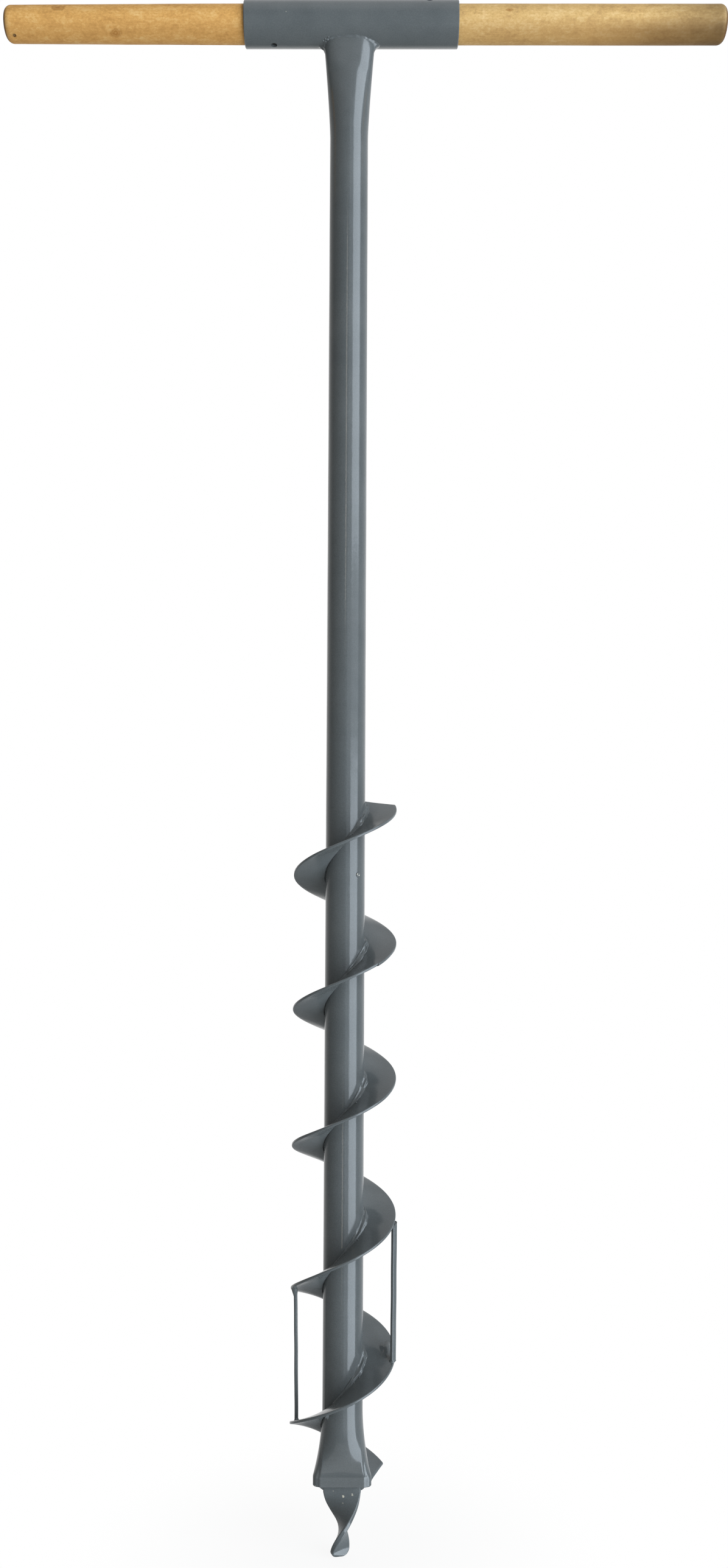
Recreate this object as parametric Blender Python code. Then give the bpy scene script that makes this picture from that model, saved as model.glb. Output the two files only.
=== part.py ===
"""Hand earth auger: screw flights on a tube shaft with a wooden cross handle.

Metres, Z up. The origin is on the shaft axis, at the flat end of the screw point.
X runs along the handle and -Y is the front.
"""
import bmesh
import bpy
import math
from mathutils import Vector

for old in list(bpy.data.objects):
    bpy.data.objects.remove(old, do_unlink=True)

# Whole tool
OVERALL_LENGTH = 1.196
FIT_GAP = 0.0003
ROUND_STEPS = 40
POLAR_STEPS = 160

# Shaft: one round tube, pressed oval at the top and to a chisel shape at the bottom
SHAFT_OD = 0.030
SHAFT_WALL = 0.002
SHAFT_TOP_WIDTH = 0.0402
SHAFT_TOP_DEPTH = 0.0172
SHAFT_TOP_PRESS = 0.078
SHAFT_TOP_FLARE = 1.3
SHAFT_LIP_HEIGHT = 0.007
SHAFT_LIP_EDGE = 0.0044
SHAFT_FAN_HEIGHT = 0.0505
SHAFT_FAN_SPREAD = 2.0
SHAFT_FAN_BULGE = 3.2
SHAFT_FAN_CROWN = 0.3
SHAFT_END_STEPS = 10

# Screw point: a flat bar, tapered and twisted, with a tang in the flattened shaft end
POINT_LENGTH = 0.0505
POINT_WIDTH = 0.028
POINT_END_WIDTH = 0.0135
POINT_THICKNESS = 0.005
POINT_END_THICKNESS = 0.0042
POINT_CORNER = 0.0008
POINT_TWIST = 165.0
POINT_TWIST_START = 0.004
POINT_TWIST_POWER = 1.2
POINT_NOSE = 0.005
POINT_NOSE_WIDTH = 0.0062
POINT_TANG = 0.024
POINT_LEAN = 0.002
POINT_STEPS = 20
POINT_NOSE_STEPS = 5

# Flights: flat rings pulled out into one right-hand screw, with one lobe that hangs lower
FLIGHT_OD = 0.0784
FLIGHT_PITCH = 0.10141
FLIGHT_PLATE = 0.002
FLIGHT_LENGTH = 0.4995
FLIGHT_LIFT = 0.005
FLIGHT_LOW_ANGLE = 38.8
FLIGHT_RINGS = 4
FLIGHT_END_SHARE = 0.2
FLIGHT_LOW_SKEW = 22.5
FLIGHT_LOW_SLANT = 0.74
FLIGHT_LOW_BEND = 1.2
FLIGHT_TOP_SKEW = 8.0
FLIGHT_SAG = 0.0035
FLIGHT_SAG_ANGLE = 540.0
FLIGHT_SAG_SWEEP = 75.0
FLIGHT_STEP = 7.5
FLIGHT_FINE_STEP = 2.5

# Weld beads between the flights and the shaft
STITCH_COUNT = 5
STITCH_SWEEP = 132.0
STITCH_LEG = 0.0034
STITCH_FIRST = 334.0
STITCH_TOP_MARGIN = 2.0
BEAD_PROFILE = ((0.0, 0.0), (1.0, 0.0), (0.78, 0.45), (0.42, 0.82), (0.0, 1.1))
BEAD_END_SHARE = 0.45
BEAD_THIN = 0.45
TACK_ANGLE = 223.0
TACK_SWEEP = 18.0
TACK_LEG = 0.0034

# Soil bars: two small flat bars that stand between turns, near the rim
BAR_WIDTH = 0.0042
BAR_THICKNESS = 0.0027
BAR_CORNER = 0.0008
BAR_LEFT_ANGLE = 180.0
BAR_LEFT_LOW_RADIUS = 0.0342
BAR_LEFT_TOP_RADIUS = 0.0355
BAR_LEFT_SPIN = 0.0
BAR_RIGHT_ANGLE = 348.0
BAR_RIGHT_LOW_RADIUS = 0.0382
BAR_RIGHT_TOP_RADIUS = 0.0388
BAR_RIGHT_SPIN = 43.0
BAR_WELD_LEG = 0.0020
BAR_WELD_HEIGHT = 0.0030
BAR_WELD_TALL = 0.0075

# Wooden stick and the socket it is pushed through
HANDLE_DIAMETER = 0.029
HANDLE_LEFT_DIAMETER = 0.0273
HANDLE_LENGTH = 0.574
HANDLE_SHIFT = 0.0125
HANDLE_ROUND = 0.0055
HANDLE_ROUND_STEPS = 5
SOCKET_LENGTH = 0.170
SOCKET_WALL = 0.0025
SOCKET_SHIFT = 0.0015
SOCKET_CHAMFER = 0.0006
SOCKET_WELD_LEG = 0.0050
SOCKET_WELD_HEIGHT = 0.0056
SOCKET_WELD_FRONT = 0.3

# Nails that hold the stick in the socket
NAIL_HEAD_DIAMETER = 0.0042
NAIL_HEAD_HEIGHT = 0.0009
NAIL_SHANK_DIAMETER = 0.0025
NAIL_LENGTH = 0.016
NAIL_HOLE_CLEARANCE = 0.0004
NAIL_SPACING = 0.1234
NAIL_LEFT_TILT = -90.0
NAIL_RIGHT_TILT = 46.0
NAIL_STEPS = 16

# Heights and radii that follow from the sizes above
SHAFT_RADIUS = SHAFT_OD / 2
SOCKET_BORE_RADIUS = HANDLE_DIAMETER / 2 + FIT_GAP
SOCKET_RADIUS = SOCKET_BORE_RADIUS + SOCKET_WALL
HANDLE_Z = OVERALL_LENGTH - SOCKET_RADIUS
SHAFT_LOW_Z = POINT_LENGTH
SHAFT_LIP_Z = SHAFT_LOW_Z + SHAFT_LIP_HEIGHT
SHAFT_FAN_Z = SHAFT_LIP_Z + SHAFT_FAN_HEIGHT
SHAFT_PRESS_END_Z = HANDLE_Z - SOCKET_RADIUS
SHAFT_PRESS_Z = SHAFT_PRESS_END_Z - SHAFT_TOP_PRESS
SHAFT_LIP_HALF = POINT_THICKNESS / 2 + FIT_GAP + SHAFT_WALL
SHAFT_LIP_FLAT = POINT_WIDTH / 2 + FIT_GAP
SHAFT_LIP_SLOPE = math.pi / 2 * (SHAFT_RADIUS - SHAFT_LIP_EDGE / 2) - SHAFT_LIP_FLAT
SHAFT_LIP_DROP = SHAFT_LIP_HALF - SHAFT_LIP_EDGE / 2
SHAFT_LIP_CENTRE = SHAFT_LIP_FLAT + math.sqrt(max(SHAFT_LIP_SLOPE ** 2 - SHAFT_LIP_DROP ** 2, 0.0))
SHAFT_LIP_REACH = SHAFT_LIP_CENTRE + SHAFT_LIP_EDGE / 2
FLIGHT_RADIUS = FLIGHT_OD / 2
FLIGHT_LOW_Z = SHAFT_LOW_Z + FLIGHT_LIFT
FLIGHT_TURNS = FLIGHT_LENGTH / FLIGHT_PITCH
FLIGHT_TOP_ANGLE = FLIGHT_LOW_ANGLE + 360 * FLIGHT_TURNS
RING_SWEEP = 360 * FLIGHT_TURNS / (FLIGHT_RINGS + FLIGHT_END_SHARE)


def material(name, colour, roughness, metallic):
    """Return a new Principled BSDF material."""
    made = bpy.data.materials.new(name)
    made.use_nodes = True
    shader = made.node_tree.nodes["Principled BSDF"]
    shader.inputs["Base Color"].default_value = (*colour, 1.0)
    shader.inputs["Roughness"].default_value = roughness
    shader.inputs["Metallic"].default_value = metallic
    return made


def painted(name):
    """Grey enamel paint on steel."""
    return material(name + "_paint", (0.095, 0.110, 0.118), 0.32, 0.0)


def finish(name, bm, look, smooth_angle=32.0):
    """Turn a bmesh into a named object with outward faces and smooth shading."""
    bmesh.ops.recalc_face_normals(bm, faces=bm.faces[:])
    mesh = bpy.data.meshes.new(name)
    bm.to_mesh(mesh)
    bm.free()
    for face in mesh.polygons:
        face.use_smooth = True
    mesh.set_sharp_from_angle(angle=math.radians(smooth_angle))
    mesh.materials.append(look)
    made = bpy.data.objects.new(name, mesh)
    bpy.context.scene.collection.objects.link(made)
    return made


def skin(bm, rings, loop=False):
    """Join rings of points with faces; cap both ends unless the rings close on themselves."""
    rows = [[bm.verts.new(point) for point in ring] for ring in rings]
    pairs = list(zip(rows, rows[1:]))
    if loop:
        pairs.append((rows[-1], rows[0]))
    for lower, upper in pairs:
        count = len(lower)
        for i in range(count):
            j = (i + 1) % count
            bm.faces.new((lower[i], lower[j], upper[j], upper[i]))
    if not loop:
        bm.faces.new(rows[0])
        bm.faces.new(rows[-1])


def smoothstep(value):
    """Ease from 0 to 1 with level ends."""
    clipped = min(max(value, 0.0), 1.0)
    return clipped * clipped * (3 - 2 * clipped)


def shaft_shape(z):
    """Half width and half depth of the shaft at a height, and how far its outline is an oval."""
    if z > SHAFT_PRESS_Z:
        share = min((z - SHAFT_PRESS_Z) / SHAFT_TOP_PRESS, 1.0) ** SHAFT_TOP_FLARE
        reach = SHAFT_RADIUS + (SHAFT_TOP_WIDTH / 2 - SHAFT_RADIUS) * share
        depth = SHAFT_RADIUS + (SHAFT_TOP_DEPTH / 2 - SHAFT_RADIUS) * share
        return reach, depth, 1.0
    share = min(max((z - SHAFT_LIP_Z) / SHAFT_FAN_HEIGHT, 0.0), 1.0)
    reach = SHAFT_RADIUS + (SHAFT_LIP_REACH - SHAFT_RADIUS) * (1 - share) ** SHAFT_FAN_SPREAD
    depth = SHAFT_RADIUS + (SHAFT_LIP_HALF - SHAFT_RADIUS) * (1 - share) ** SHAFT_FAN_BULGE
    return reach, depth, smoothstep(share / SHAFT_FAN_CROWN)


def lip_point(inset, share):
    """Point on a quarter of the flattened end's outline, as parts of its half width and half depth.

    The quarter runs from the rounded side over a slope to the flat middle. On the outside it is as
    long as a quarter of the round tube, so the pressed wall keeps its length.
    """
    half = SHAFT_LIP_HALF - inset
    edge = max(SHAFT_LIP_EDGE / 2 - inset, FIT_GAP / 2)
    arc = math.pi / 2 * edge
    run = SHAFT_LIP_CENTRE - SHAFT_LIP_FLAT
    slope = math.hypot(run, half - edge)
    along = share * (arc + slope + SHAFT_LIP_FLAT)
    if along < arc:
        x = SHAFT_LIP_CENTRE + edge * math.cos(along / edge)
        y = edge * math.sin(along / edge)
    elif along < arc + slope:
        x = SHAFT_LIP_CENTRE - run * (along - arc) / slope
        y = edge + (half - edge) * (along - arc) / slope
    else:
        x = (1 - share) * (arc + slope + SHAFT_LIP_FLAT)
        y = half
    return x / (SHAFT_LIP_CENTRE + edge), y / half


def shaft_outline(z, inset, count):
    """Points round the shaft's wall at one height."""
    reach, depth, crown = shaft_shape(z)
    corner = []
    for i in range(count // 4 + 1):
        share = i / (count // 4)
        flat_x, flat_y = lip_point(inset, share)
        oval_x = math.cos(math.pi / 2 * share)
        oval_y = math.sin(math.pi / 2 * share)
        x = (reach - inset) * (flat_x + (oval_x - flat_x) * crown)
        y = (depth - inset) * (flat_y + (oval_y - flat_y) * crown)
        corner.append((x, y))
    first = corner[:-1]
    second = [(-x, y) for x, y in reversed(corner[1:])]
    third = [(-x, -y) for x, y in corner[:-1]]
    fourth = [(x, -y) for x, y in reversed(corner[1:])]
    return first + second + third + fourth


def shaft_polar(z, degrees):
    """Distance from the shaft axis to its outer surface in one direction."""
    wanted = math.atan2(abs(math.sin(math.radians(degrees))), abs(math.cos(math.radians(degrees))))
    points = shaft_outline(z, 0.0, POLAR_STEPS)[:POLAR_STEPS // 4 + 1]
    for (xa, ya), (xb, yb) in zip(points, points[1:]):
        low = math.atan2(ya, xa)
        high = math.atan2(yb, xb)
        if low <= wanted <= high:
            share = (wanted - low) / (high - low)
            return math.hypot(xa + (xb - xa) * share, ya + (yb - ya) * share)
    return points[-1][1]


def socket_underside(y, extra):
    """Height of the socket's underside at a depth, with room left below it."""
    reach = SOCKET_RADIUS + extra
    return HANDLE_Z - math.sqrt(max(reach * reach - y * y, 0.0))


def flight_z(degrees):
    """Height of the middle of the flight's sheet, lower where one lobe hangs."""
    away = (degrees - FLIGHT_SAG_ANGLE) / FLIGHT_SAG_SWEEP
    sag = FLIGHT_SAG * math.exp(-away * away)
    return FLIGHT_LOW_Z + FLIGHT_PITCH * (degrees - FLIGHT_LOW_ANGLE) / 360 - sag


def flight_half(radius):
    """Half the sheet's thickness measured straight up; the sheet is steeper near the shaft."""
    return FLIGHT_PLATE / 2 * math.hypot(1.0, FLIGHT_PITCH / (2 * math.pi * radius))


def flight_bore(degrees, fitted=False):
    """Inner radius of the flight; a fitted edge follows the flattened shaft end inwards too."""
    z = flight_z(degrees)
    least = 0.0 if fitted else SHAFT_RADIUS
    radius = SHAFT_RADIUS
    for _ in range(3):
        rise = flight_half(radius)
        widest = max(shaft_polar(z - rise, degrees), shaft_polar(z + rise, degrees))
        radius = max(widest, least) + FIT_GAP
    return radius


def around(radius, degrees, z):
    """Point at a radius and an angle about the shaft axis."""
    turn = math.radians(degrees)
    return (radius * math.cos(turn), radius * math.sin(turn), z)


def shaft_tube():
    """The hollow shaft with both flattened ends and its saddle cut under the socket."""
    fan = [SHAFT_LIP_Z + SHAFT_FAN_HEIGHT * i / SHAFT_END_STEPS for i in range(SHAFT_END_STEPS + 1)]
    press = [SHAFT_PRESS_Z + SHAFT_TOP_PRESS * i / SHAFT_END_STEPS for i in range(SHAFT_END_STEPS)]
    heights = [SHAFT_LOW_Z] + fan + press
    rings = []
    for inset in (0.0, SHAFT_WALL):
        rows = []
        for z in heights:
            rows.append([(x, y, z) for x, y in shaft_outline(z, inset, ROUND_STEPS)])
        saddle = []
        for x, y in shaft_outline(SHAFT_PRESS_END_Z, inset, ROUND_STEPS):
            saddle.append((x, y, socket_underside(y, FIT_GAP)))
        rows.append(saddle)
        rings.append(rows)
    bm = bmesh.new()
    skin(bm, rings[0] + rings[1][::-1], loop=True)
    return finish("shaft_tube", bm, painted("shaft_tube"))


def flight_piece(name, low, top, low_skew=0.0, top_skew=0.0, stations=2, fitted=False):
    """One flight ring between two angles; a skew moves the inner corner of an end round the shaft."""
    step = FLIGHT_FINE_STEP if fitted else FLIGHT_STEP
    steps = max(int(math.ceil((top - low) / step)), 2)
    rings = []
    for i in range(steps + 1):
        share = i / steps
        upper = []
        lower = []
        for j in range(stations):
            inward = 1 - j / (stations - 1)
            start = low - low_skew * min(inward / FLIGHT_LOW_SLANT, 1.0) ** FLIGHT_LOW_BEND
            end = top + top_skew * inward
            middle = start + (end - start) * share
            inner = flight_bore(middle, fitted)
            radius = inner + (FLIGHT_RADIUS - inner) * (1 - inward)
            relief = math.degrees(FIT_GAP / 2 / radius)
            degrees = middle + relief * (1 - 2 * share)
            z = flight_z(degrees)
            half = flight_half(radius)
            upper.append(around(radius, degrees, z + half))
            lower.append(around(radius, degrees, z - half))
        rings.append(upper + lower[::-1])
    bm = bmesh.new()
    skin(bm, rings)
    return finish(name, bm, painted(name), 50.0)


def flight_bead(name, low, top, leg, side, fitted=False):
    """A lumpy fillet of weld in the corner of shaft and flight, thin at its low end; side 1 is above."""
    steps = max(int(round((top - low) / FLIGHT_STEP)), 3)
    rings = []
    for i in range(steps + 1):
        share = i / steps
        degrees = low + (top - low) * share
        taper = min(1.0, BEAD_END_SHARE + 3.5 * min(share, 1 - share))
        lump = 1 + 0.10 * math.sin(1.9 * i) + 0.07 * math.sin(3.1 * i + 0.6)
        run = BEAD_THIN + (1 - BEAD_THIN) * share
        size = leg * run * taper * lump
        root = flight_bore(degrees, fitted)
        floor = flight_z(degrees) + side * (flight_half(root) + FIT_GAP)
        ring = []
        for out, rise in BEAD_PROFILE:
            z = floor + side * rise * size
            wall = max(root, shaft_polar(z, degrees) + FIT_GAP)
            ring.append(around(wall + out * size, degrees, z))
        rings.append(ring)
    bm = bmesh.new()
    skin(bm, rings)
    return finish(name, bm, painted(name), 60.0)


def socket_weld():
    """The fillet bead round the oval shaft top, heavy at both sides, under the socket."""
    upper = shaft_outline(SHAFT_PRESS_END_Z, 0.0, ROUND_STEPS)
    below = shaft_outline(SHAFT_PRESS_END_Z - SOCKET_WELD_HEIGHT, 0.0, ROUND_STEPS)
    corner = []
    roof = []
    toe = []
    belly = []
    foot = []
    for i in range(ROUND_STEPS):
        xa, ya = upper[i - 1]
        xb, yb = upper[(i + 1) % ROUND_STEPS]
        out = Vector((yb - ya, xa - xb)).normalized()
        rough = 1.0 if upper[i][0] < 0 else 0.35
        lump = 1 + rough * (0.13 * math.sin(1.7 * i) + 0.09 * math.sin(2.9 * i + 1.0))
        sideways = SOCKET_WELD_FRONT + (1 - SOCKET_WELD_FRONT) * abs(out.x) ** 3
        leg = SOCKET_WELD_LEG * lump * sideways
        near = Vector(upper[i]) + out * FIT_GAP
        far = Vector(upper[i]) + out * (FIT_GAP + leg)
        mid = Vector(upper[i]) + out * (FIT_GAP + 0.5 * leg)
        low = Vector(below[i]) + out * FIT_GAP
        near_z = socket_underside(near.y, FIT_GAP)
        corner.append((near.x, near.y, near_z))
        roof.append((mid.x, mid.y, socket_underside(mid.y, FIT_GAP)))
        toe.append((far.x, far.y, socket_underside(far.y, FIT_GAP)))
        drop = SOCKET_WELD_HEIGHT * sideways
        belly.append((mid.x, mid.y, socket_underside(mid.y, FIT_GAP) - 0.42 * drop * lump))
        foot.append((low.x, low.y, near_z - drop))
    bm = bmesh.new()
    skin(bm, [corner, roof, toe, belly, foot], loop=True)
    return finish("socket_weld", bm, painted("socket_weld"), 60.0)


def flat_section(width, depth, cut):
    """Corners of a rectangle with chamfers: the section of a flat bar."""
    half_x = width / 2
    half_y = depth / 2
    return [
        (half_x, half_y - cut),
        (half_x - cut, half_y),
        (cut - half_x, half_y),
        (-half_x, half_y - cut),
        (-half_x, cut - half_y),
        (cut - half_x, -half_y),
        (half_x - cut, -half_y),
        (half_x, cut - half_y),
    ]


def bar_section(grow):
    """Section of a soil bar, grown outwards where a weld goes round it."""
    return flat_section(BAR_THICKNESS + 2 * grow, BAR_WIDTH + 2 * grow, BAR_CORNER + 0.6 * grow)


def bar_place(point, angle, radius, spin):
    """Turn a section corner and move it to the bar's place near the rim."""
    turn = math.radians(spin)
    centre = math.radians(angle)
    x = point[0] * math.cos(turn) - point[1] * math.sin(turn)
    y = point[0] * math.sin(turn) + point[1] * math.cos(turn)
    return (radius * math.cos(centre) + x, radius * math.sin(centre) + y)


def sheet_height(x, y, angle, turn, side):
    """Height of the flight's surface, with a gap, above or below a point near an angle."""
    there = math.degrees(math.atan2(y, x))
    offset = (there - angle + 180) % 360 - 180
    radius = math.hypot(x, y)
    return flight_z(angle + offset + 360 * turn) + side * (flight_half(radius) + FIT_GAP)


def soil_bar(name, angle, low_radius, top_radius, spin):
    """A small bar that stands on one turn and reaches the turn above it."""
    low = []
    top = []
    for point in bar_section(0.0):
        x, y = bar_place(point, angle, low_radius, spin)
        low.append((x, y, sheet_height(x, y, angle, 0, 1)))
        x, y = bar_place(point, angle, top_radius, spin)
        top.append((x, y, sheet_height(x, y, angle, 1, -1)))
    bm = bmesh.new()
    skin(bm, [low, top])
    return finish(name, bm, painted(name), 25.0)


def bar_weld(name, angle, radius, spin, turn, side, height):
    """A collar of weld round one end of a soil bar, thicker on the shaft's side of the bar."""
    outward = Vector((math.cos(math.radians(angle)), math.sin(math.radians(angle))))
    loops = [[], [], [], []]
    for i in range(8):
        x, y = bar_place(bar_section(FIT_GAP)[i], angle, radius, spin)
        centre = Vector(bar_place((0.0, 0.0), angle, radius, spin))
        out = (Vector((x, y)) - centre).normalized()
        leg = BAR_WELD_LEG * (0.62 - 0.38 * out.dot(outward))
        far = Vector((x, y)) + out * leg
        mid = Vector((x, y)) + out * leg * 0.6
        base = sheet_height(x, y, angle, turn, side)
        loops[0].append((x, y, base))
        loops[1].append((far.x, far.y, sheet_height(far.x, far.y, angle, turn, side)))
        loops[2].append((mid.x, mid.y, base + side * 0.5 * height))
        loops[3].append((x, y, base + side * height))
    bm = bmesh.new()
    skin(bm, loops, loop=True)
    return finish(name, bm, painted(name), 60.0)


def screw_point():
    """The twisted point, from its flat end up to the tang inside the shaft."""
    start = POINT_LENGTH - POINT_TWIST_START
    heights = []
    for i in range(POINT_NOSE_STEPS + 1):
        heights.append(POINT_NOSE * (1 - math.cos(math.pi / 2 * i / POINT_NOSE_STEPS)))
    for i in range(1, POINT_STEPS + 1):
        heights.append(POINT_NOSE + (start - POINT_NOSE) * i / POINT_STEPS)
    heights += [POINT_LENGTH, POINT_LENGTH + POINT_TANG]
    rings = []
    for z in heights:
        share = min(max((start - z) / start, 0.0), 1.0)
        turn = -math.radians(POINT_TWIST * share ** POINT_TWIST_POWER)
        width = POINT_WIDTH + (POINT_END_WIDTH - POINT_WIDTH) * share
        if z < POINT_NOSE:
            rise = 1 - z / POINT_NOSE
            width = POINT_NOSE_WIDTH + (width - POINT_NOSE_WIDTH) * math.sqrt(1 - rise * rise)
        thickness = POINT_THICKNESS + (POINT_END_THICKNESS - POINT_THICKNESS) * share
        ring = []
        for x, y in flat_section(width, thickness, POINT_CORNER):
            px = x * math.cos(turn) - y * math.sin(turn)
            py = x * math.sin(turn) + y * math.cos(turn)
            ring.append((px - POINT_LEAN * share ** 4, py, z))
        rings.append(ring)
    bm = bmesh.new()
    skin(bm, rings)
    return finish("screw_point", bm, painted("screw_point"), 40.0)


def point_weld(name, side):
    """A small bead at one edge of the point, under the lip of the shaft."""
    reach = POINT_WIDTH / 2 + FIT_GAP
    ceiling = SHAFT_LOW_Z - FIT_GAP
    depth = POINT_THICKNESS * 0.46
    rings = []
    for i in range(7):
        y = depth * (i / 3 - 1)
        size = POINT_TWIST_START * (0.5 + 0.45 * math.cos(math.pi / 2 * (i / 3 - 1)))
        ring = [
            (side * reach, y, ceiling),
            (side * (reach + size), y, ceiling),
            (side * (reach + 0.6 * size), y, ceiling - 0.55 * size),
            (side * reach, y, ceiling - 0.9 * size),
        ]
        rings.append(ring)
    bm = bmesh.new()
    skin(bm, rings)
    return finish(name, bm, painted(name), 60.0)


def turned(profile, steps, close=False):
    """Rings round the X axis for a profile of positions and radii."""
    bm = bmesh.new()
    rings = []
    for x, radius in profile:
        ring = []
        for i in range(steps):
            turn = 2 * math.pi * i / steps
            ring.append((x, radius * math.cos(turn), HANDLE_Z + radius * math.sin(turn)))
        rings.append(ring)
    skin(bm, rings, loop=close)
    return bm


def nail_axis(tilt):
    """Direction out of the handle for a nail; a tilt of 0 faces the front, 90 faces up."""
    turn = math.radians(tilt)
    return Vector((0.0, -math.cos(turn), math.sin(turn)))


def along_axis(x, tilt, profile, steps):
    """A turned solid on a line square to the handle, from positions out along it and radii."""
    out = nail_axis(tilt)
    across = Vector((1.0, 0.0, 0.0))
    other = out.cross(across)
    rings = []
    for distance, radius in profile:
        ring = []
        for i in range(steps):
            turn = 2 * math.pi * i / steps
            spot = out * distance + across * (radius * math.cos(turn)) + other * (radius * math.sin(turn))
            ring.append((x + spot.x, spot.y, HANDLE_Z + spot.z))
        rings.append(ring)
    bm = bmesh.new()
    skin(bm, rings)
    return bm


def cut_out(target, name, bm):
    """Take a hidden solid away from a piece."""
    cutter = finish(name, bm, target.data.materials[0])
    cutter.hide_render = True
    cutter.display_type = "WIRE"
    cut = target.modifiers.new(name, "BOOLEAN")
    cut.operation = "DIFFERENCE"
    cut.solver = "EXACT"
    cut.object = cutter


def rounded_end(end, inward, radius):
    """Profile points from the flat end of the stick round to its full radius."""
    points = []
    for i in range(HANDLE_ROUND_STEPS + 1):
        turn = math.pi / 2 * i / HANDLE_ROUND_STEPS
        x = end + inward * HANDLE_ROUND * (1 - math.cos(turn))
        points.append((x, radius - HANDLE_ROUND * (1 - math.sin(turn))))
    return points


def handle():
    """The wooden stick with rounded-over ends."""
    left = HANDLE_SHIFT - HANDLE_LENGTH / 2
    right = HANDLE_SHIFT + HANDLE_LENGTH / 2
    radius = HANDLE_DIAMETER / 2
    profile = rounded_end(left, 1, HANDLE_LEFT_DIAMETER / 2)
    profile.append((SOCKET_SHIFT - SOCKET_LENGTH / 2, radius))
    profile += reversed(rounded_end(right, -1, radius))
    wood = material("handle_wood", (0.56, 0.36, 0.15), 0.62, 0.0)
    return finish("handle", turned(profile, ROUND_STEPS), wood)


def handle_socket():
    """The tube that the stick is pushed through."""
    left = SOCKET_SHIFT - SOCKET_LENGTH / 2
    right = SOCKET_SHIFT + SOCKET_LENGTH / 2
    profile = [
        (left, SOCKET_BORE_RADIUS),
        (left, SOCKET_RADIUS - SOCKET_CHAMFER),
        (left + SOCKET_CHAMFER, SOCKET_RADIUS),
        (right - SOCKET_CHAMFER, SOCKET_RADIUS),
        (right, SOCKET_RADIUS - SOCKET_CHAMFER),
        (right, SOCKET_BORE_RADIUS),
    ]
    return finish("handle_socket", turned(profile, ROUND_STEPS, close=True), painted("handle_socket"))


def nail(name, x, tilt):
    """A flat-headed nail, its head on the stick inside the socket's hole."""
    seat = HANDLE_DIAMETER / 2 + FIT_GAP
    shank = NAIL_SHANK_DIAMETER / 2
    profile = [
        (seat - NAIL_LENGTH, shank * 0.2),
        (seat - NAIL_LENGTH + NAIL_SHANK_DIAMETER, shank),
        (seat, shank),
        (seat, NAIL_HEAD_DIAMETER / 2),
        (seat + NAIL_HEAD_HEIGHT * 0.7, NAIL_HEAD_DIAMETER / 2),
        (seat + NAIL_HEAD_HEIGHT, NAIL_HEAD_DIAMETER / 2 - NAIL_HEAD_HEIGHT * 0.3),
    ]
    steel = material(name + "_steel", (0.075, 0.072, 0.070), 0.45, 0.6)
    return finish(name, along_axis(x, tilt, profile, NAIL_STEPS), steel)


def nail_holes(stick, socket, name, x, tilt):
    """The drilled hole in the socket and the nail's own hole in the stick."""
    middle = HANDLE_DIAMETER / 2
    wide = NAIL_HEAD_DIAMETER / 2 + NAIL_HOLE_CLEARANCE
    slim = NAIL_SHANK_DIAMETER / 2 + FIT_GAP
    through = [(middle * 0.6, wide), (SOCKET_RADIUS * 1.2, wide)]
    cut_out(socket, name + "_socket_cut", along_axis(x, tilt, through, NAIL_STEPS))
    pilot = [(middle - NAIL_LENGTH, slim), (middle * 1.2, slim)]
    cut_out(stick, name + "_stick_cut", along_axis(x, tilt, pilot, NAIL_STEPS))


# Handle end of the tool
stick = handle()
socket = handle_socket()
for nail_name, nail_side, nail_tilt in (
    ("handle_nail_left", -1, NAIL_LEFT_TILT),
    ("handle_nail_right", 1, NAIL_RIGHT_TILT),
):
    nail_x = SOCKET_SHIFT + nail_side * NAIL_SPACING / 2
    nail(nail_name, nail_x, nail_tilt)
    nail_holes(stick, socket, nail_name, nail_x, nail_tilt)

# Shaft and its weld to the socket
shaft_tube()
socket_weld()

# Flights, counted from the bottom
end_top = FLIGHT_TOP_ANGLE - FLIGHT_RINGS * RING_SWEEP
flight_piece(
    "flight_end_piece", FLIGHT_LOW_ANGLE, end_top, low_skew=FLIGHT_LOW_SKEW, stations=4, fitted=True
)
for ring_index in range(FLIGHT_RINGS):
    ring_low = end_top + ring_index * RING_SWEEP
    ring_skew = FLIGHT_TOP_SKEW if ring_index == FLIGHT_RINGS - 1 else 0.0
    flight_piece(f"flight_ring_{ring_index + 1}", ring_low, ring_low + RING_SWEEP, top_skew=ring_skew)

# Welds of the flights
stitch_top = FLIGHT_LOW_ANGLE + STITCH_FIRST
stitch_space = (FLIGHT_TOP_ANGLE - STITCH_TOP_MARGIN - stitch_top) / (STITCH_COUNT - 1)
for stitch_index in range(STITCH_COUNT):
    stitch_end = stitch_top + stitch_index * stitch_space
    flight_bead(f"flight_weld_{stitch_index + 1}", stitch_end - STITCH_SWEEP, stitch_end, STITCH_LEG, 1)
flight_bead(
    "end_piece_weld", FLIGHT_LOW_ANGLE, end_top - FLIGHT_STEP, STITCH_LEG, 1, fitted=True
)
flight_bead("underside_tack", TACK_ANGLE - TACK_SWEEP / 2, TACK_ANGLE + TACK_SWEEP / 2, TACK_LEG, -1)

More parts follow.
